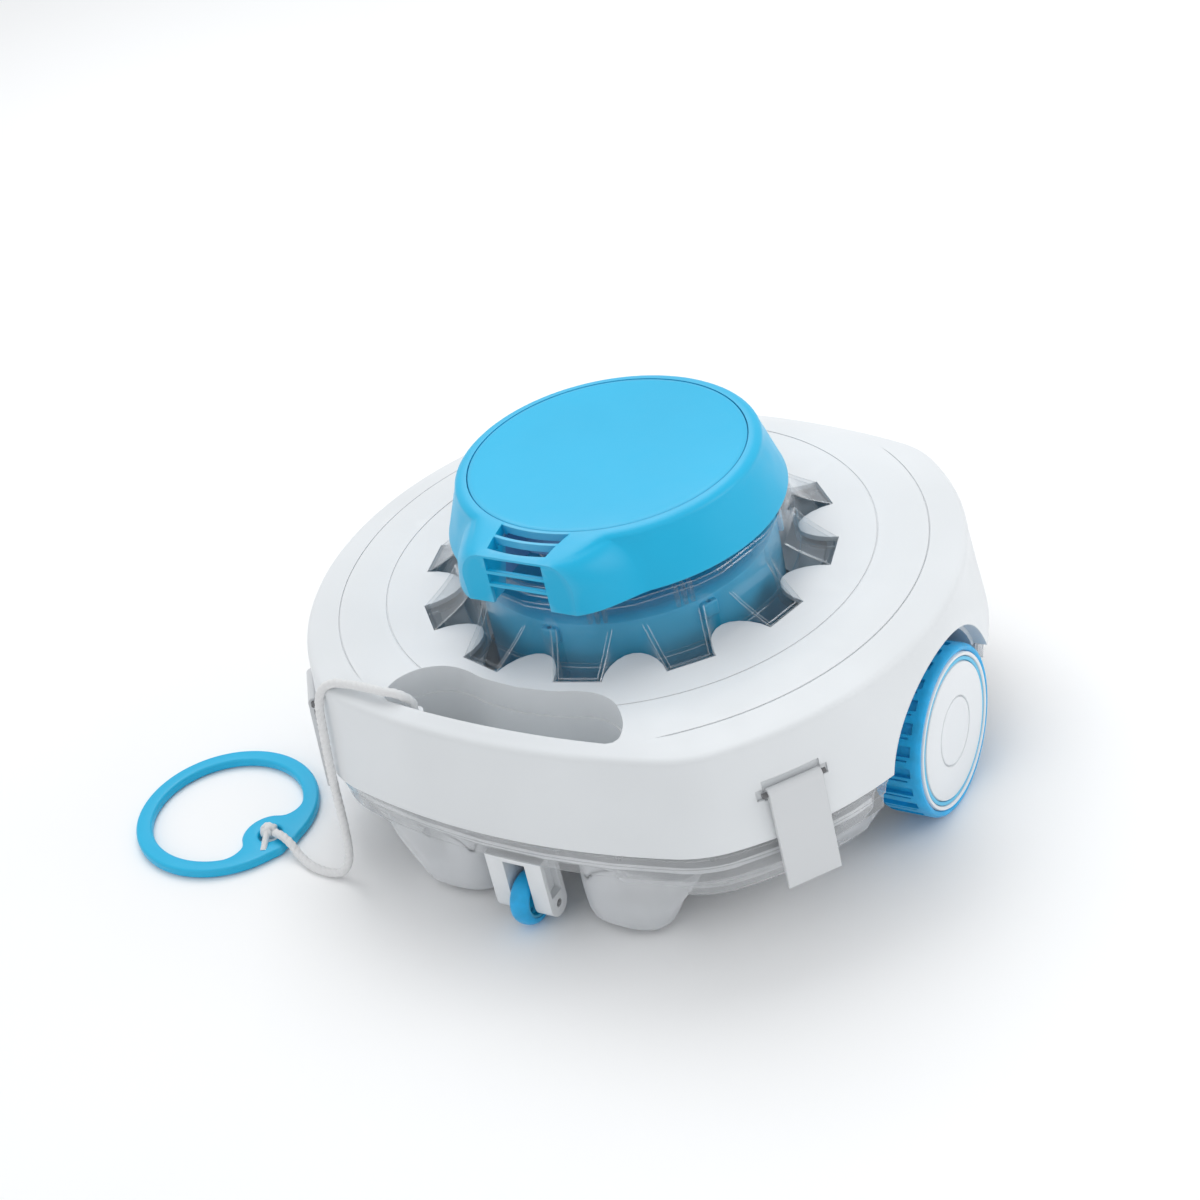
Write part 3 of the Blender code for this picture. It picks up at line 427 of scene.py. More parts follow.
def ring(offset, z, fine=4):
    return [(x, y, z) for x, y in outline(offset, fine)]


def dome_rings(offset, low, radius, high, steps, fine=4):
    rings = []
    for i in range(1, steps + 1):
        part = i / steps
        points = []
        for x, y in outline(offset, fine):
            scale = radius / math.hypot(x, y)
            points.append((x + (x * scale - x) * part, y + (y * scale - y) * part,
                           low + (high - low) * math.sin(part * math.pi / 2)))
        rings.append(points)
    return rings


def grow(points, distance):
    """Counter-clockwise outline moved outwards along its corner normals."""
    grown = []
    count = len(points)
    for i, point in enumerate(points):
        before = Vector(point) - Vector(points[i - 1])
        after = Vector(points[(i + 1) % count]) - Vector(point)
        normals = [Vector((e.y, -e.x)).normalized() for e in (before, after)]
        middle = (normals[0] + normals[1]).normalized()
        reach = distance / max(0.5, middle.dot(normals[0]))
        grown.append((point[0] + middle.x * reach, point[1] + middle.y * reach))
    return grown


def circled(points, radius, z):
    """Circle at a height with one point at each given point's angle."""
    return [(radius * x / math.hypot(x, y), radius * y / math.hypot(x, y), z) for x, y, _ in points]


def smooth_curve(knots, steps):
    """Points along a smooth curve through the knots, of any dimension, ends included."""
    knots = [Vector(k) for k in knots]
    knots = [knots[0] * 2 - knots[1]] + knots + [knots[-1] * 2 - knots[-2]]
    fine = []
    for i in range(1, len(knots) - 2):
        a, b, c, d = knots[i - 1:i + 3]
        for k in range(steps):
            t = k / steps
            fine.append(0.5 * (2 * b + (c - a) * t + (2 * a - 5 * b + 4 * c - d) * t * t
                               + (3 * b - 3 * c + d - a) * t ** 3))
    fine.append(knots[-2])
    return fine


def recess_outline():
    """Handle recess seen from above: gently curved front, waisted rear edge, round tips."""
    rear = ((0.0720, -0.1505), (0.0740, -0.146), (0.0710, -0.137), (0.062, -0.127), (0.053, -0.1222),
            (0.044, -0.1207), (0.034, -0.1220), (0.022, -0.1253), (0.0, -0.1275))
    half = [(x, y) for x, y in smooth_curve(rear, 4)]
    front = []
    for i in range(-11, 12):
        x = 0.0062 * i
        front.append((x, -0.1575 + x * x / 0.9))
    return front + half + [(-x, y) for x, y in reversed(half[:-1])]


WELL_CENTRE = (-0.008, 0.050)
WELL_RADIUS, WELL_LINING = 0.0605, 0.066


def well_outline(radius):
    y, z = WELL_CENTRE
    return arc((y, z), radius, 0.0, 180.0, 48) + [(y - radius, z), (y - radius, 0.015), (y + radius, 0.015)]


def side_range(side, near, far):
    """Lower and upper X of a range from near to far on one side."""
    return sorted((side * near, side * far))


def cross_frame(side=1, origin=(0, 0, 0)):
    """Frame whose Z is +X or -X of the world."""
    return Matrix.Translation(origin) @ Matrix.Rotation(side * math.pi / 2, 4, "Y")


def section_frame(origin=(0, 0, 0)):
    """Frame whose X, Y, Z are the world's Y, Z, X."""
    return Matrix.Translation(origin) @ Matrix(((0, 0, 1, 0), (1, 0, 0, 0), (0, 1, 0, 0), (0, 0, 0, 1)))


def well_cut(side, radius, near, far):
    """Cutter of the wheel well's outline over a range of X on one side."""
    low, high = side_range(side, near, far)
    return extruded("well", well_outline(radius), low, high, None, section_frame())


def radial_frame(angle, origin_r=0.0, origin_z=0.0):
    """Frame with X outwards at the angle, Y up and Z along the wall."""
    c, s = math.cos(math.radians(angle)), math.sin(math.radians(angle))
    turn = Matrix(((c, 0, s, 0), (s, 0, -c, 0), (0, 1, 0, 0), (0, 0, 0, 1)))
    return Matrix.Translation((c * origin_r, s * origin_r, origin_z)) @ turn


def rear_frame(x, z):
    return Matrix.Translation((x, 0, z)) @ Matrix.Rotation(-math.pi / 2, 4, "X")


def spin(angle):
    return Matrix.Rotation(math.radians(angle), 4, "Z")


def show(obj, body, slot, *nodes):
    """Ride on a body and stand for CAD nodes; the slot is not used."""
    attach(obj, body)
    if nodes:
        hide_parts(*nodes)


# ------------------ cord, knot and ring
CORD_ROUTE = ((-0.0570, -0.1470, 0.1244), (-0.0570, -0.1470, 0.1300), (-0.0615, -0.1500, 0.1362),
              (-0.0720, -0.1515, 0.1378), (-0.0850, -0.1500, 0.1368), (-0.0980, -0.1490, 0.1356),
              (-0.1080, -0.1490, 0.1340), (-0.1150, -0.1512, 0.1295), (-0.1178, -0.1540, 0.1200),
              (-0.1190, -0.1565, 0.1000), (-0.1205, -0.1590, 0.0700), (-0.1212, -0.1610, 0.0400),
              (-0.1230, -0.1630, 0.0170), (-0.1285, -0.1655, 0.0055), (-0.1380, -0.1670, 0.0029),
              (-0.1520, -0.1655, 0.0028), (-0.1640, -0.1610, 0.0040), (-0.1730, -0.1570, 0.0080),
              (-0.1805, -0.1545, 0.0098), (-0.1868, -0.1530, 0.0094))
CORD_DIAMETER = 0.005
RING_PLACE = Matrix.Translation((-0.235, -0.140, 0)) @ spin(-15.0)
EYELET_REACH = 0.043


def resample(points, step):
    """Even steps along a dense run of points."""
    total = sum((b - a).length for a, b in zip(points, points[1:]))
    count = max(2, round(total / step))
    result = [points[0]]
    walked = 0.0
    for a, b in zip(points, points[1:]):
        length = (b - a).length
        while length and len(result) < count and walked + length >= total * len(result) / count:
            result.append(a.lerp(b, (total * len(result) / count - walked) / length))
        walked += length
    result.append(points[-1])
    return result


def twisted(name, path, radius, pitch, strands=3, sides=24):
    """Rope of lobed section that turns as it runs along the path."""
    rings = []
    side = None
    walked = 0.0
    for i, point in enumerate(path):
        ahead = (path[min(i + 1, len(path) - 1)] - path[max(i - 1, 0)]).normalized()
        if side is None:
            side = ahead.orthogonal().normalized()
        side = (side - ahead * side.dot(ahead)).normalized()
        other = ahead.cross(side)
        if i:
            walked += (point - path[i - 1]).length
        twist = 2 * math.pi * walked / pitch
        row = []
        for k in range(sides):
            a = 2 * math.pi * k / sides
            r = radius * (0.80 + 0.20 * abs(math.cos(strands * (a - twist) / 2)) ** 0.7)
            row.append(point + side * (r * math.cos(a)) + other * (r * math.sin(a)))
        rings.append(row)
    return loft(name, rings, "cord", sharp=60.0)


def smooth_min(a, b, reach):
    """Smaller of two lengths with a soft changeover."""
    h = max(0.0, min(1.0, 0.5 + 0.5 * (b - a) / reach))
    return b + (a - b) * h - reach * h * (1 - h)


def make_ring():
    """Flat oval ring with rounded edges, its eyelet grown into the band, and a notch for the cord."""
    long_half, short_half, band, eyelet, fillet = 0.059, 0.056, 0.0100, 0.0175, 1.7
    outer, inner = [], []
    steps = 240
    for k in range(steps):
        a = 2 * math.pi * k / steps
        c, s = math.cos(a), math.sin(a)
        edge = 1 / math.hypot(c / long_half, s / short_half)
        hole = 1 / math.hypot(c / (long_half - band), s / (short_half - band))
        near = EYELET_REACH * c
        miss = EYELET_REACH * abs(s)
        if c > 0 and miss < eyelet:
            reach = math.sqrt(eyelet ** 2 - miss ** 2)
            edge = -smooth_min(-edge, -(near + reach), 0.002)
            hole = smooth_min(hole, near - reach, 0.003)
        elif c > 0 and miss < eyelet * fillet:
            fade = 1 - (miss / eyelet - 1) / (fillet - 1)
            hole -= 0.0086 * fade * fade
        edge -= 0.0022 * math.exp(-(math.degrees(math.atan2(s, c)) / 3.2) ** 2)
        outer.append((edge * c, edge * s))
        inner.append((hole * c, hole * s))
    eye = [(EYELET_REACH + 0.0072 * math.cos(2 * math.pi * k / 48), 0.0072 * math.sin(2 * math.pi * k / 48))
           for k in range(48)]
    round_edge = 0.0019
    curve = bpy.data.curves.new("ring_shape", "CURVE")
    curve.dimensions = "2D"
    curve.fill_mode = "BOTH"
    curve.extrude = 0.0030 - round_edge
    curve.bevel_depth = round_edge
    curve.bevel_resolution = 4
    curve.offset = -round_edge
    for loop in (outer, inner, eye):
        spline = curve.splines.new("POLY")
        spline.points.add(len(loop) - 1)
        for point, (x, y) in zip(spline.points, loop):
            point.co = (x, y, 0.0, 1.0)
        spline.use_cyclic_u = True
    temporary = bpy.data.objects.new("ring_shape", curve)
    bpy.context.collection.objects.link(temporary)
    bpy.context.view_layer.update()
    mesh = bpy.data.meshes.new_from_object(temporary.evaluated_get(bpy.context.evaluated_depsgraph_get()))
    bpy.data.objects.remove(temporary, do_unlink=True)
    work = bmesh.new()
    work.from_mesh(mesh)
    bmesh.ops.remove_doubles(work, verts=work.verts, dist=0.000002)
    bmesh.ops.transform(work, matrix=RING_PLACE @ Matrix.Translation((0, 0, 0.0031)), verts=work.verts)
    ring_piece = finish_mesh("pickup_ring_skin", work, "blue", 50.0)
    show(ring_piece, "upper", "blue_plastic", "pickup_ring")


def make_knot():
    """Overhand knot over the eyelet: two crossing loops and a short frayed tail."""
    centre = RING_PLACE @ Vector((EYELET_REACH, 0, 0.0078))
    loops = []
    for tilt, turn, size in ((62, 10, 0.0039), (118, 75, 0.0037), (90, -40, 0.0034)):
        rim = []
        for k in range(33):
            a = 2 * math.pi * k / 32
            rim.append(Vector((size * math.cos(a), size * math.sin(a) * 0.85, 0.0006 * math.sin(2 * a))))
        matrix = Matrix.Translation(centre) @ spin(turn) @ Matrix.Rotation(math.radians(tilt), 4, "X")
        loops.append(twisted(f"knot_{tilt}", [matrix @ p for p in rim], 0.0021, 0.009, 3, 12))
    heading = Vector((math.cos(math.radians(-70)), math.sin(math.radians(-70)), 0))
    tail = [centre + heading * (0.0030 + 0.0024 * k) + Vector((0, 0, 0.0016 - 0.0009 * k)) for k in range(6)]
    loops.append(twisted("knot_tail", tail, 0.0021, 0.009, 3, 12))
    for k in range(9):
        fan = spin(-24 + 6 * k) @ heading
        start = tail[-1] - heading * 0.001
        strand = [start + fan * (0.0016 * j) + Vector((0, 0, 0.0003 * math.sin(1.7 * k + j)))
                  for j in range(5)]
        loops.append(twisted(f"fray_{k}", strand, 0.00055, 0.004, 2, 6))
    knot = joined("cord_knot_skin", loops)
    show(knot, "upper", "cord_fibre", "cord_knot")
    return knot


def make_cord():
    """Cord from its anchor in the recess to the knot, with the ring and the knot."""
    dense = smooth_curve(CORD_ROUTE, 16)
    path = resample(dense, 0.0009)
    rope = twisted("cord_skin", path, CORD_DIAMETER / 2 * 1.06, 0.0125)
    show(rope, "upper", "cord_fibre", "cord")
    make_ring()
    knot = make_knot()


make_cord()


# ------------------ upper shell
def tooth_ring(z, tip, flute, half, growth=0.0, fine=10):
    """Star-shaped ring: twelve flat teeth with round flutes between them."""
    points = []
    flute_half = 15.0 - half - math.degrees(growth / tip)
    for k in range(12):
        middle = 15.0 + 30.0 * (k + 0.5)
        for i in range(fine + 1):
            phi = math.radians(-90 + 180 * i / fine)
            angle = math.radians(middle + flute_half * math.sin(phi))
            radius = flute + growth + (tip - flute) * (1 - math.cos(phi))
            points.append((radius * math.cos(angle), radius * math.sin(angle), z))
    return points


def make_shell():
    """Hollow white shell with its recess, star opening, wheel arches, grooves and latch slots."""
    walls = ((0.0064, 0.0707), (0.0063, 0.0716), (0.0050, 0.0828), (0.0034, 0.0965), (0.0020, 0.1090),
             (0.0010, 0.1185), (0.0006, 0.1240), (0.0004, 0.1262), (0.0001, 0.1277), (-0.0007, 0.1290),
             (-0.0018, 0.1298), (-0.0034, 0.13035))
    rings = [ring(*section) for section in walls]
    rings += dome_rings(-0.0034, 0.13035, 0.1412, 0.13685, 9)
    shell = loft("shell_skin", rings, "white")

    inner = [ring(o, z, 2) for o, z in ((0.0044, 0.0600), (-0.0001, 0.0990), (-0.0030, 0.1210),
                                        (-0.0062, 0.1262))]
    inner += dome_rings(-0.0085, 0.1274, 0.138, 0.13385, 3, 2)
    cavity = loft("cavity", inner)
    tools = [extruded("recess_wall", grow(recess_outline(), 0.003), 0.095, 0.150)]
    for side in (1, -1):
        tools.append(well_cut(side, WELL_LINING, 0.149, 0.215))
    boolean(cavity, *tools)

    cuts = [cavity, extruded("recess_high", recess_outline(), 0.1200, 0.160),
            extruded("recess_low", grow(recess_outline(), -0.0011), 0.0980, 0.1210)]
    for side in (1, -1):
        cuts.append(well_cut(side, WELL_RADIUS, 0.152, 0.215))
        cuts.append(well_cut(side, 0.063, 0.1815, 0.215))
    star = [(x, y) for x, y, _ in tooth_ring(0, 0.1194, 0.0965, 6.4, 0.00035)]
    cuts.append(extruded("star", star, 0.1300, 0.160))
    for angle in (-37.5, 217.5):
        place = radial_frame(angle)
        cuts.append(boxed("slot", (0.1906, 0.0942, -0.0165), (0.2150, 0.1056, 0.0165), None, place))
        for end in (-0.0176, 0.0176):
            cuts.append(boxed("notch", (0.1912, 0.0950, end - 0.0028), (0.2150, 0.1010, end + 0.0028), None,
                              place))
    for radius, low in ((0.1412, 0.13655), (0.16975, 0.13335)):
        cuts.append(turned("groove", ((radius - 0.00032, 0.145), (radius + 0.00032, 0.145),
                                      (radius + 0.00032, low), (radius - 0.00032, low)), steps=192))
    for x, radius in ((0.025, 0.0106), (-0.025, 0.0068)):
        cuts.append(rod("rear_hole", radius, 0.150, 0.190, rear_frame(x, 0.100), 48))
    boolean(shell, *cuts)
    for side in (1, -1):
        low, high = side_range(side, 0.1506, 0.1546)
        boolean(shell, boxed("bracket", (low, -0.013, 0.036), (high, 0.013, 0.095)), operation="UNION")
        boolean(shell, rod("bracket_hole", 0.0083, 0.14, 0.16, cross_frame(side, (0, 0, WHEEL_HEIGHT)), 48))
    show(shell, "upper", "white_shell", "upper_shell")


# ------------------ crown
def crown_ring(z, inset=0.0):
    """Crown at one height: the teeth flare like a trumpet below the shoulder."""
    rise = min(1.0, max(0.0, (z - 0.13685) / (0.155 - 0.13685)))
    flare = 0.55 * rise + 0.45 * math.sin(rise * math.pi / 2)
    tip = 0.1194 + (0.0971 - 0.1194) * flare
    half = 6.4 + 4.0 * rise
    flute_half = 15.0 - half + math.degrees(inset / tip)
    return tooth_ring(z, tip - inset, 0.0965 - inset, 15.0 - flute_half)


def round_ring(z, radius):
    return circled(crown_ring(0.155), radius, z)


def make_crown():
    """Clear crown, its inner flange, and the small lugs and ribs at its neck."""
    outer = [crown_ring(z) for z in (0.1306, 0.1340, 0.13685, 0.1385, 0.1405, 0.1430, 0.1458, 0.1486, 0.1512,
                                     0.1534, 0.155)]
    outer += [round_ring(0.1600, 0.0966), round_ring(0.1680, 0.0962), round_ring(0.1698, 0.0957),
              round_ring(0.1703, 0.0948), round_ring(0.1705, 0.0908), round_ring(0.1768, 0.0904)]
    inner = [round_ring(0.1768, 0.0886), round_ring(0.1690, 0.0886), round_ring(0.1668, 0.0910),
             round_ring(0.1650, 0.0936)]
    inner += [crown_ring(z, 0.0021) for z in (0.1540, 0.1515, 0.1480, 0.1450, 0.1422, 0.1395, 0.1372, 0.1355,
                                              0.1306)]
    crown = loft("crown_skin", outer + inner, "clear", close=True, sharp=38.0)
    show(crown, "upper", "clear_plastic", "crown")
    flange = turned("crown_flange", ((0.0975, 0.1333), (0.1120, 0.1333), (0.1120, 0.1302), (0.0975, 0.1302)),
                    "clear")
    show(flange, "upper", "clear_plastic")
    for k in range(8):
        angle = 22.5 + 45.0 * k
        lug = boxed(f"crown_lug_{k}", (0.0885, -0.0042, 0.1645), (0.0934, 0.0042, 0.1688), "clear",
                    spin(angle), 0.0006)
        show(lug, "upper", "clear_plastic")
    for index, angle in enumerate((-42.0, -72.0, 18.0, 138.0)):
        for step in range(3):
            rib = boxed(f"lug_rib_{index}_{step}", (0.0900, -0.0011, 0.1560), (0.0936, 0.0011, 0.1690),
                        "clear", spin(angle + 2.6 * step), 0.0004)
            show(rib, "upper", "clear_plastic")


# ------------------ cap with its nozzle
NOZZLE_FRONT = 0.105
SEAM_RADIUS = 0.0792


def cone_radius(z):
    """Side of the cap: a straight cone with a rounded top edge."""
    if z <= 0.2010:
        return 0.0964 - (z - 0.1734) * (0.0964 - 0.0868) / (0.2010 - 0.1734)
    t = min(1.0, (z - 0.2010) / (0.2058 - 0.2010))
    return 0.0868 - 0.0046 * (1 - math.sqrt(max(0.0, 1 - t * t)))


def nozzle_width(z):
    """Half-width of the flat front: narrow on top, then a quarter-ellipse down to the cheeks."""
    if z >= 0.1870:
        t = min(1.0, (z - 0.1870) / 0.0165)
        return 0.0200 + 0.0145 * math.sqrt(max(0.0, 1 - t * t))
    return 0.0345 - 0.0010 * (0.1870 - z) / 0.0136


def cap_ring(z):
    """Plan outline of the cap at one height: the cone's circle with the nozzle blended into it."""
    round_part = cone_radius(z)
    width = nozzle_width(z)
    front = NOZZLE_FRONT
    edge = math.atan2(width, front)
    blend = edge + math.radians(17.0 + 5.0 * (0.2035 - min(z, 0.2035)) / 0.030)
    corner = math.hypot(width, front)
    angles = [edge * i / 6 for i in range(7)] + [edge + (blend - edge) * i / 14 for i in range(1, 15)]
    angles += [blend + (math.pi - blend) * i / 40 for i in range(1, 41)]
    half = []
    for a in angles:
        if a <= edge + 1e-9:
            r = front / math.cos(a)
        elif a < blend:
            t = (a - edge) / (blend - edge)
            r = round_part + (corner - round_part) * (1 - 0.4 * t - 0.6 * t * t * (3 - 2 * t))
        else:
            r = round_part
        half.append((max(r, round_part), a))
    points = [(r * math.sin(a), -r * math.cos(a), z) for r, a in half]
    return points + [(-x, y, zz) for x, y, zz in reversed(points[1:-1])]


def make_cap():
    """Blue cap with its slotted nozzle, the disc on top and the duct behind the slots."""
    rings = [cap_ring(z) for z in (0.1734, 0.1737, 0.1770, 0.1810, 0.1850, 0.1890, 0.1925, 0.1955, 0.1980,
                                   0.2000, 0.2015, 0.2026)]
    top = cap_ring(0.2033)
    rings.append(top)
    seam = circled(top, SEAM_RADIUS, 0.2059)
    for part in (0.06, 0.20, 0.45, 0.75, 1.0):
        ring_points = []
        for (x, y, _), (u, v, w) in zip(top, seam):
            rise = 1 - (1 - part) ** 3
            ring_points.append((x + (u - x) * part, y + (v - y) * part, 0.2034 + (w - 0.2034) * rise))
        rings.append(ring_points)
    rings += [circled(top, SEAM_RADIUS, 0.2033), circled(top, 0.0600, 0.2033)]
    cap = loft("cap_skin", rings, "blue", sharp=40.0)
    cavity = turned("cavity", ((0, 0.2000), (0.0835, 0.2000), (0.0938, 0.1730), (0.0938, 0.1600),
                               (0, 0.1600)))
    cuts = [cavity, rod("neck", 0.0916, 0.1600, 0.1778),
            boxed("duct", (-0.0185, -0.1028, 0.1700), (0.0185, -0.050, 0.2014))]
    for low, high in ((0.1700, 0.1840), (0.1860, 0.1921), (0.1941, 0.2021)):
        cuts.append(boxed("slot", (-0.0178, -0.112, low), (0.0178, -0.1005, high)))
    for centre, half, near, far in ((0.0980, 0.0045, 0.0181, 0.0194), (0.0873, 0.0042, 0.0197, 0.0212)):
        outer, inner = [], []
        for i in range(13):
            t = i / 6 - 1
            outer.append((near * t, -math.sqrt((centre + half) ** 2 - (near * t) ** 2) + 0.0016))
            inner.append((far * t, -math.sqrt((centre - half) ** 2 - (far * t) ** 2) + 0.0016))
        cuts.append(extruded("top_slot", outer + list(reversed(inner)), 0.1985, 0.2150))
    boolean(cap, *cuts)
    points = cap.data.vertices
    for edge in cap.data.edges:
        ends = [points[i].co for i in edge.vertices]
        edge.use_edge_sharp |= all(abs(p.y + NOZZLE_FRONT) < 0.00002
                                   and abs(abs(p.x) - nozzle_width(p.z)) < 0.0001 for p in ends)
    show(cap, "cap_body", "blue_plastic", "nozzle_cap")

    disc = turned("cap_disc_skin", ((0, 0.2069), (0.0400, 0.2068), (0.0640, 0.2065), (0.0755, 0.2062),
                                    (0.0779, 0.2060), (0.0786, 0.2056), (0.0788, 0.2050), (0.0788, 0.2036),
                                    (0, 0.2036)), "blue", steps=160)
    show(disc, "cap_body", "blue_plastic", "cap_disc")
    # the duct parts behind the slots take the darker blue as painted shade
    back = boxed("duct_back", (-0.0186, -0.0640, 0.1782), (0.0186, -0.0622, 0.1990), "shaded_blue")
    show(back, "cap_body", "blue_plastic")
    roof = turned("duct_roof", ((0, 0.1994), (0.0700, 0.1994), (0.0700, 0.1984), (0, 0.1984)), "shaded_blue")
    show(roof, "cap_body", "blue_plastic")
    for side in (1, -1):
        low, high = side_range(side, 0.0188, 0.0206)
        cheek = boxed(f"duct_wall_{'right' if side > 0 else 'left'}", (low, -0.0890, 0.1782),
                      (high, -0.0560, 0.1990), "shaded_blue")
        show(cheek, "cap_body", "blue_plastic")


# ------------------ pump housing seen through the crown
def make_housing():
    """Closed cup with six screw ears."""
    cup = turned("housing_skin", ((0.0060, 0.1520), (0.0790, 0.1520), (0.0825, 0.1512), (0.0850, 0.1494),
                                  (0.0859, 0.1470), (0.0860, 0.0818), (0.0835, 0.0818), (0.0835, 0.1465),
                                  (0.0815, 0.1490), (0.0060, 0.1490)), "blue")
    parts = []
    for k in range(6):
        angle = -90.0 + 60.0 * k
        parts.append(boxed("ear", (0.0800, -0.0050, 0.1380), (0.0890, 0.0050, 0.1475), "blue", spin(angle),
                           0.0012))
    boolean(cup, *parts, operation="UNION")
    holes = []
    for k in range(6):
        place = spin(-90.0 + 60.0 * k) @ Matrix.Translation((0.0868, 0, 0))
        holes.append(rod("ear_hole", 0.0014, 0.141, 0.150, place, 16))
    boolean(cup, *holes)
    show(cup, "upper", "blue_plastic", "pump_housing")


# ------------------ tray and scoops
def make_tray():
    """Thin clear tray, stepped at its side, cut for the wheels and scoops, ribbed inside."""
    walls = ((-0.0240, 0.0280), (-0.0160, 0.0283), (-0.0120, 0.0296), (-0.0097, 0.0322), (-0.0085, 0.0350),
             (-0.0010, 0.0480), (0.0002, 0.0495), (0.0010, 0.0500), (0.0014, 0.0585), (0.0015, 0.0590),
             (0.0025, 0.0594), (0.0029, 0.0655), (0.0030, 0.0660), (0.0035, 0.0663), (0.0036, 0.0704))
    outer = [ring(*section) for section in walls]
    tray = loft("tray_skin", outer, "tray")
    inner = [ring(o, z, 2) for o, z in ((-0.0245, 0.0305), (-0.0145, 0.0318), (-0.0116, 0.0352),
                                        (-0.0022, 0.0505), (-0.0006, 0.0620), (0.0016, 0.0720))]
    cavity = loft("cavity", inner)
    tools = [boxed("bay", (-0.065, -0.210, 0.0), (0.065, -0.1180, 0.0525)),
             boxed("bay", (-0.033, 0.1390, 0.0), (0.033, 0.210, 0.0525))]
    for side in (1, -1):
        tools.append(well_cut(side, WELL_LINING, 0.1475, 0.215))
    boolean(cavity, *tools)
    cuts = [cavity, boxed("bay", (-0.0625, -0.220, -0.01), (0.0625, -0.1205, 0.050)),
            boxed("bay", (-0.0305, 0.1415, -0.01), (0.0305, 0.220, 0.050))]
    for side in (1, -1):
        cuts.append(well_cut(side, 0.063, 0.150, 0.215))
        low, high = side_range(side, 0.032, 0.058)
        cuts.append(boxed("window", (low, -0.126, 0.0330), (high, -0.110, 0.0460)))
    boolean(tray, *cuts)
    show(tray, "lower", "clear_plastic", "lower_tray")
    for index, angle in enumerate((-145, -128, -112, -100, -80, -68, -52, -30, 30, 52, 70, 110, 128, 150)):
        reach = min(math.hypot(x, y) for x, y in outline(-0.0035, 2)
                    if abs((math.degrees(math.atan2(y, x)) - angle + 180) % 360 - 180) < 3)
        rib = boxed(f"tray_rib_{index}", (reach - 0.007, -0.0009, 0.0535), (reach - 0.0008, 0.0009, 0.0690),
                    "tray", spin(angle), 0.0003)
        show(rib, "lower", "clear_plastic")


def superellipse(cx, cy, a, b, z, power=2.6, steps=64):
    points = []
    for k in range(steps):
        t = 2 * math.pi * k / steps
        c, s = math.cos(t), math.sin(t)
        points.append((cx + a * math.copysign(abs(c) ** (2 / power), c),
                       cy + b * math.copysign(abs(s) ** (2 / power), s), z))
    return points


def make_scoops():
    """Rounded intake scoops, open below, with a throat up into the tray."""
    for side, name in ((-1, "left"), (1, "right")):
        sections = ((0.0545, -0.1418, 0.0175, 0.0105, 0.0045), (0.0545, -0.1418, 0.0205, 0.0125, 0.0040),
                    (0.0547, -0.1418, 0.0228, 0.0143, 0.0046), (0.0549, -0.1418, 0.0247, 0.0158, 0.0066),
                    (0.0554, -0.1418, 0.0264, 0.0170, 0.0105), (0.0564, -0.1417, 0.0280, 0.0178, 0.0160),
                    (0.0582, -0.1415, 0.0304, 0.0183, 0.0225), (0.0602, -0.1412, 0.0328, 0.0185, 0.0285),
                    (0.0620, -0.1406, 0.0350, 0.0184, 0.0345), (0.0632, -0.1398, 0.0366, 0.0180, 0.0405),
                    (0.0636, -0.1390, 0.0372, 0.0172, 0.0450))
        rings = [superellipse(side * x, y, a, b, z) for x, y, a, b, z in sections]
        rings += [superellipse(side * 0.0560, -0.1393, 0.0262, 0.0180, 0.0475, 3.5),
                  superellipse(side * 0.0460, -0.1393, 0.0150, 0.0185, 0.0497, 5.0)]
        inner = [superellipse(side * x, y, a - 0.0018, b - 0.0018, z + (0.0004 if i else 0.0))
                 for i, (x, y, a, b, z) in enumerate(sections)][2:7]
        inner += [superellipse(side * 0.0560, -0.1418, 0.0262, 0.0165, 0.0252),
                  superellipse(side * 0.0462, -0.1395, 0.0132, 0.0165, 0.0268, 4.5),
                  superellipse(side * 0.0460, -0.1393, 0.0132, 0.0167, 0.0497, 5.0)]
        scoop = loft(f"scoop_{name}_skin", rings + list(reversed(inner)), "frosted", close=True, sharp=50.0)
        low, high = side_range(side, 0.0335, 0.0585)
        boolean(scoop, boxed("passage", (low, -0.126, 0.0325), (high, -0.110, 0.0465)), tangled=True)
        show(scoop, "lower", "frosted_plastic", f"scoop_{name}")


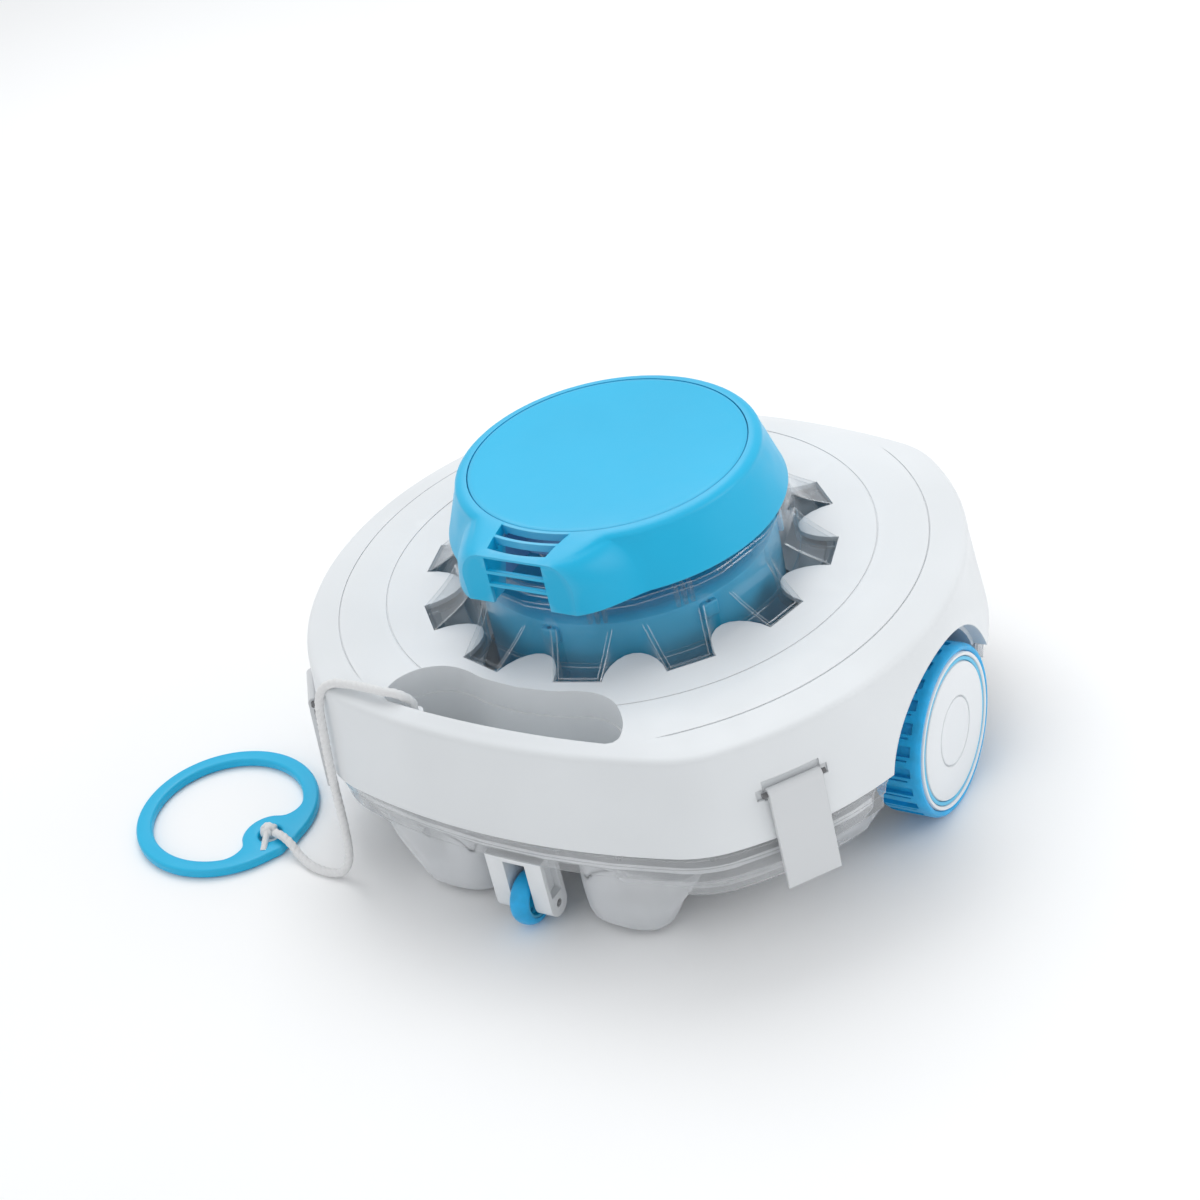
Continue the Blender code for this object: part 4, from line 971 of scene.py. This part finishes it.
# ------------------ wheels
def make_side_wheels():
    """Notched rubber tyre, rim, blue band and round cover on each side."""
    for side, name in ((-1, "left"), (1, "right")):
        place = cross_frame(side, (0, 0, WHEEL_HEIGHT))
        body = f"wheel_{name}_body"
        tyre = turned(f"tyre_{name}_skin", (
            (0.0447, 0.1872), (0.0451, 0.1881), (0.0460, 0.1886), (0.0472, 0.1885), (0.0481, 0.1877),
            (0.04865, 0.1862), (0.0488, 0.1845), (0.0488, 0.1775), (0.0488, 0.1640), (0.0486, 0.1625),
            (0.0479, 0.1610), (0.0466, 0.1602), (0.0446, 0.1602)), "blue_rubber", place, 144)
        notches = []
        for k in range(24):
            turn = place @ spin(15.0 * k + 7.5)
            notches.append(boxed("notch", (0.0462, -0.0030, 0.1590), (0.0520, 0.0030, 0.1832), None, turn))
            notches.append(boxed("sipe", (0.0476, 0.0048, 0.1590), (0.0520, 0.0058, 0.1812), None, turn))
        boolean(tyre, joined("notches", notches))
        show(tyre, body, "blue_rubber", f"tyre_{name}")

        rim = turned(f"rim_{name}_skin", (
            (0.0419, 0.1872), (0.0421, 0.1885), (0.0426, 0.1890), (0.0440, 0.1890), (0.0444, 0.1882),
            (0.0443, 0.1602), (0.0400, 0.1602), (0.0400, 0.1690), (0.0120, 0.1700), (0.0095, 0.1590),
            (0.0051, 0.1590), (0.0051, 0.1800), (0.0120, 0.1800), (0.0120, 0.1740), (0.0419, 0.1740)),
            "hub_white", place, 128)
        show(rim, body, "white_shell", f"wheel_{name}")
        band = turned(f"rim_band_{name}", (
            (0.0394, 0.1872), (0.0396, 0.1884), (0.0416, 0.1884), (0.0418, 0.1872), (0.0418, 0.1790),
            (0.0394, 0.1790)), "blue", place, 128)
        show(band, body, "blue_rubber")
        cap = turned(f"hub_cap_{name}_skin", (
            (0, 0.1888), (0.0120, 0.1887), (0.0165, 0.1889), (0.0183, 0.1891), (0.0190, 0.1889),
            (0.0193, 0.1882), (0.0194, 0.1876), (0.0199, 0.1876), (0.0200, 0.1886), (0.0203, 0.1890),
            (0.0300, 0.1891), (0.0380, 0.1891), (0.0388, 0.1888), (0.0392, 0.1879), (0.0393, 0.1744),
            (0.0380, 0.1744), (0.0380, 0.1862), (0, 0.1862)), "hub_white", place, 128)
        show(cap, body, "white_shell", f"hub_cap_{name}")


def make_small_wheels():
    """Blue wheel in a slotted fork, under the front and under the rear."""
    for name in ("front", "rear"):
        centre = middle(f"{name}_axle")
        place = cross_frame(1, centre)
        tread = []
        for k in range(13):
            a = math.radians(-78 + 13 * k)
            tread.append((0.0118 + 0.0042 * math.cos(a) ** 0.7, -0.0058 * math.sin(a)))
        profile = [(0.0113, 0.0057)] + tread + [(0.0113, -0.0057)]
        tyre = turned(f"{name}_tyre_skin", profile, "blue_rubber", place, 72)
        show(tyre, f"{name}_wheel_body", "blue_rubber", f"{name}_tyre")
        hub = turned(f"{name}_hub_skin", (
            (0.00208, 0.0057), (0.0040, 0.0057), (0.0046, 0.0052), (0.0048, 0.0030), (0.0090, 0.0026),
            (0.0098, 0.0050), (0.0111, 0.0054), (0.0111, -0.0054), (0.0098, -0.0050), (0.0090, -0.0026),
            (0.0048, -0.0030), (0.0046, -0.0052), (0.0040, -0.0057), (0.00208, -0.0057)), "blue", place, 48)
        holes = []
        for k in range(5):
            spot = place @ spin(72 * k + 18) @ Matrix.Translation((0.0069, 0, 0))
            holes.append(rod("opening", 0.0017, -0.01, 0.01, spot, 16))
        boolean(hub, *holes)
        show(hub, f"{name}_wheel_body", "blue_plastic", f"{name}_wheel")

        top = 0.0497 - centre[2]
        shape = arc((0, 0), 0.0080, 180.0, 360.0, 24) + [(0.0080, 0.0), (0.0080, top), (-0.0080, top)]
        fork = extruded(f"{name}_fork_skin", shape, -0.018, 0.018, "white", section_frame(centre))
        cuts = [boxed("slot", (-0.007, centre[1] - 0.02, -0.01), (0.007, centre[1] + 0.02, 0.0462)),
                rod("bore", 0.0023, -0.03, 0.03, place, 32)]
        for side in (1, -1):
            low, high = side_range(side, 0.0135, 0.0200)
            cuts.append(boxed("pocket", (low, centre[1] - 0.0048, 0.0225),
                              (high, centre[1] + 0.0048, 0.0465)))
        boolean(fork, *cuts)
        bosses = []
        for side in (1, -1):
            low, high = side_range(side, 0.0125, 0.0180)
            profile = ((0.0023, high), (0.0050, high), (0.0050, low), (0.0023, low))
            bosses.append(turned("boss", profile, None, place, 32))
        boolean(fork, *bosses, operation="UNION")
        show(fork, "lower", "white_shell", f"{name}_fork")


# ------------------ latches
def make_latches():
    """Curled latch plate on each front corner."""
    for angle, name in ((-37.5, "right"), (217.5, "left")):
        place = radial_frame(angle, 0.1945, 0.0990)
        shape = arc((0, 0), 0.0032, 0.0, 262.0, 24)
        shape += [(0.0001, -0.0034), (0.0010, -0.0048), (0.0013, -0.0070), (0.0046, -0.0580),
                  (0.0048, -0.0590), (0.0054, -0.0596), (0.0064, -0.0596), (0.0070, -0.0590),
                  (0.0070, -0.0580), (0.0036, -0.0060), (0.0033, -0.0030)]
        latch = extruded(f"latch_{name}_skin", shape, -0.0154, 0.0154, "latch", place)
        boolean(latch, rod("bore", 0.00157, -0.03, 0.03, place, 32))
        show(latch, f"latch_{name}_body", "white_shell", f"latch_{name}")


# ------------------ pieces that keep their own shape
def dress_frame():
    """Better materials for the pieces whose modelled shape is already right."""
    looks = {
        "inner_white": ("chassis_plate", "impeller", "filter_frame", "cord_anchor"),
        "blue": ("housing_base", "power_button"),
        "dark": ("battery_left", "battery_right", "bush_left", "bush_right", "charge_socket",
                 "latch_pin_left", "latch_pin_right"),
        "steel": ("pump_motor", "motor_shaft", "axle_left", "axle_right", "front_axle", "rear_axle",
                  "flap_pin_left", "flap_pin_right", "crown_screw_0", "crown_screw_90", "crown_screw_180",
                  "crown_screw_270"),
        "dark_rubber": ("shaft_seal", "tray_seal", "button_seal", "charge_cap", "flap_left", "flap_right"),
        "mesh": ("filter_mesh",),
        "board": ("control_board",),
    }
    for look, names in looks.items():
        for name in names:
            obj = NODES[name]
            obj.data.materials.clear()
            obj.data.materials.append(MATERIALS[look])


make_shell()
make_crown()
make_cap()
make_housing()
make_tray()
make_scoops()
make_side_wheels()
make_small_wheels()
make_latches()
dress_frame()


# ------------------ stage and light
LIGHTS = (("key", (-0.6, 0.7, 1.7), 1.4, 16.0), ("side", (1.6, 0.5, 0.9), 1.0, 7.0),
          ("front", (-0.5, -1.8, 0.9), 1.2, 2.0))


def make_stage():
    """Pale seamless floor, a broad soft light above, a weaker one at each side, and a bright sky."""
    work = bmesh.new()
    bmesh.ops.create_grid(work, x_segments=1, y_segments=1, size=6.0)
    floor = finish_mesh("floor", work, None)
    n = Nodes("floor_paint")
    n.link(n.ramp(n.noise(2.0, 2.0), (0.94, 0.94, 0.94), (0.96, 0.96, 0.96)), n.shader.inputs["Base Color"])
    n.shader.inputs["Roughness"].default_value = 0.9
    n.shader.inputs["Specular IOR Level"].default_value = 0.1
    floor.data.materials.append(n.material)
    floor.location.z = -0.0002

    world = bpy.data.worlds.new("studio")
    bpy.context.scene.world = world
    world.use_nodes = True
    world.node_tree.nodes["Background"].inputs["Color"].default_value = (0.96, 0.98, 1.0, 1.0)
    world.node_tree.nodes["Background"].inputs["Strength"].default_value = 0.72

    for name, place, size, power in LIGHTS:
        data = bpy.data.lights.new(name, "AREA")
        data.size = size
        data.energy = power
        lamp = bpy.data.objects.new(name, data)
        lamp.location = place
        lamp.rotation_euler = (Vector((0, 0, 0.1)) - Vector(place)).to_track_quat("-Z", "Y").to_euler()
        bpy.context.collection.objects.link(lamp)
    bpy.context.scene.view_settings.view_transform = "Standard"


make_stage()
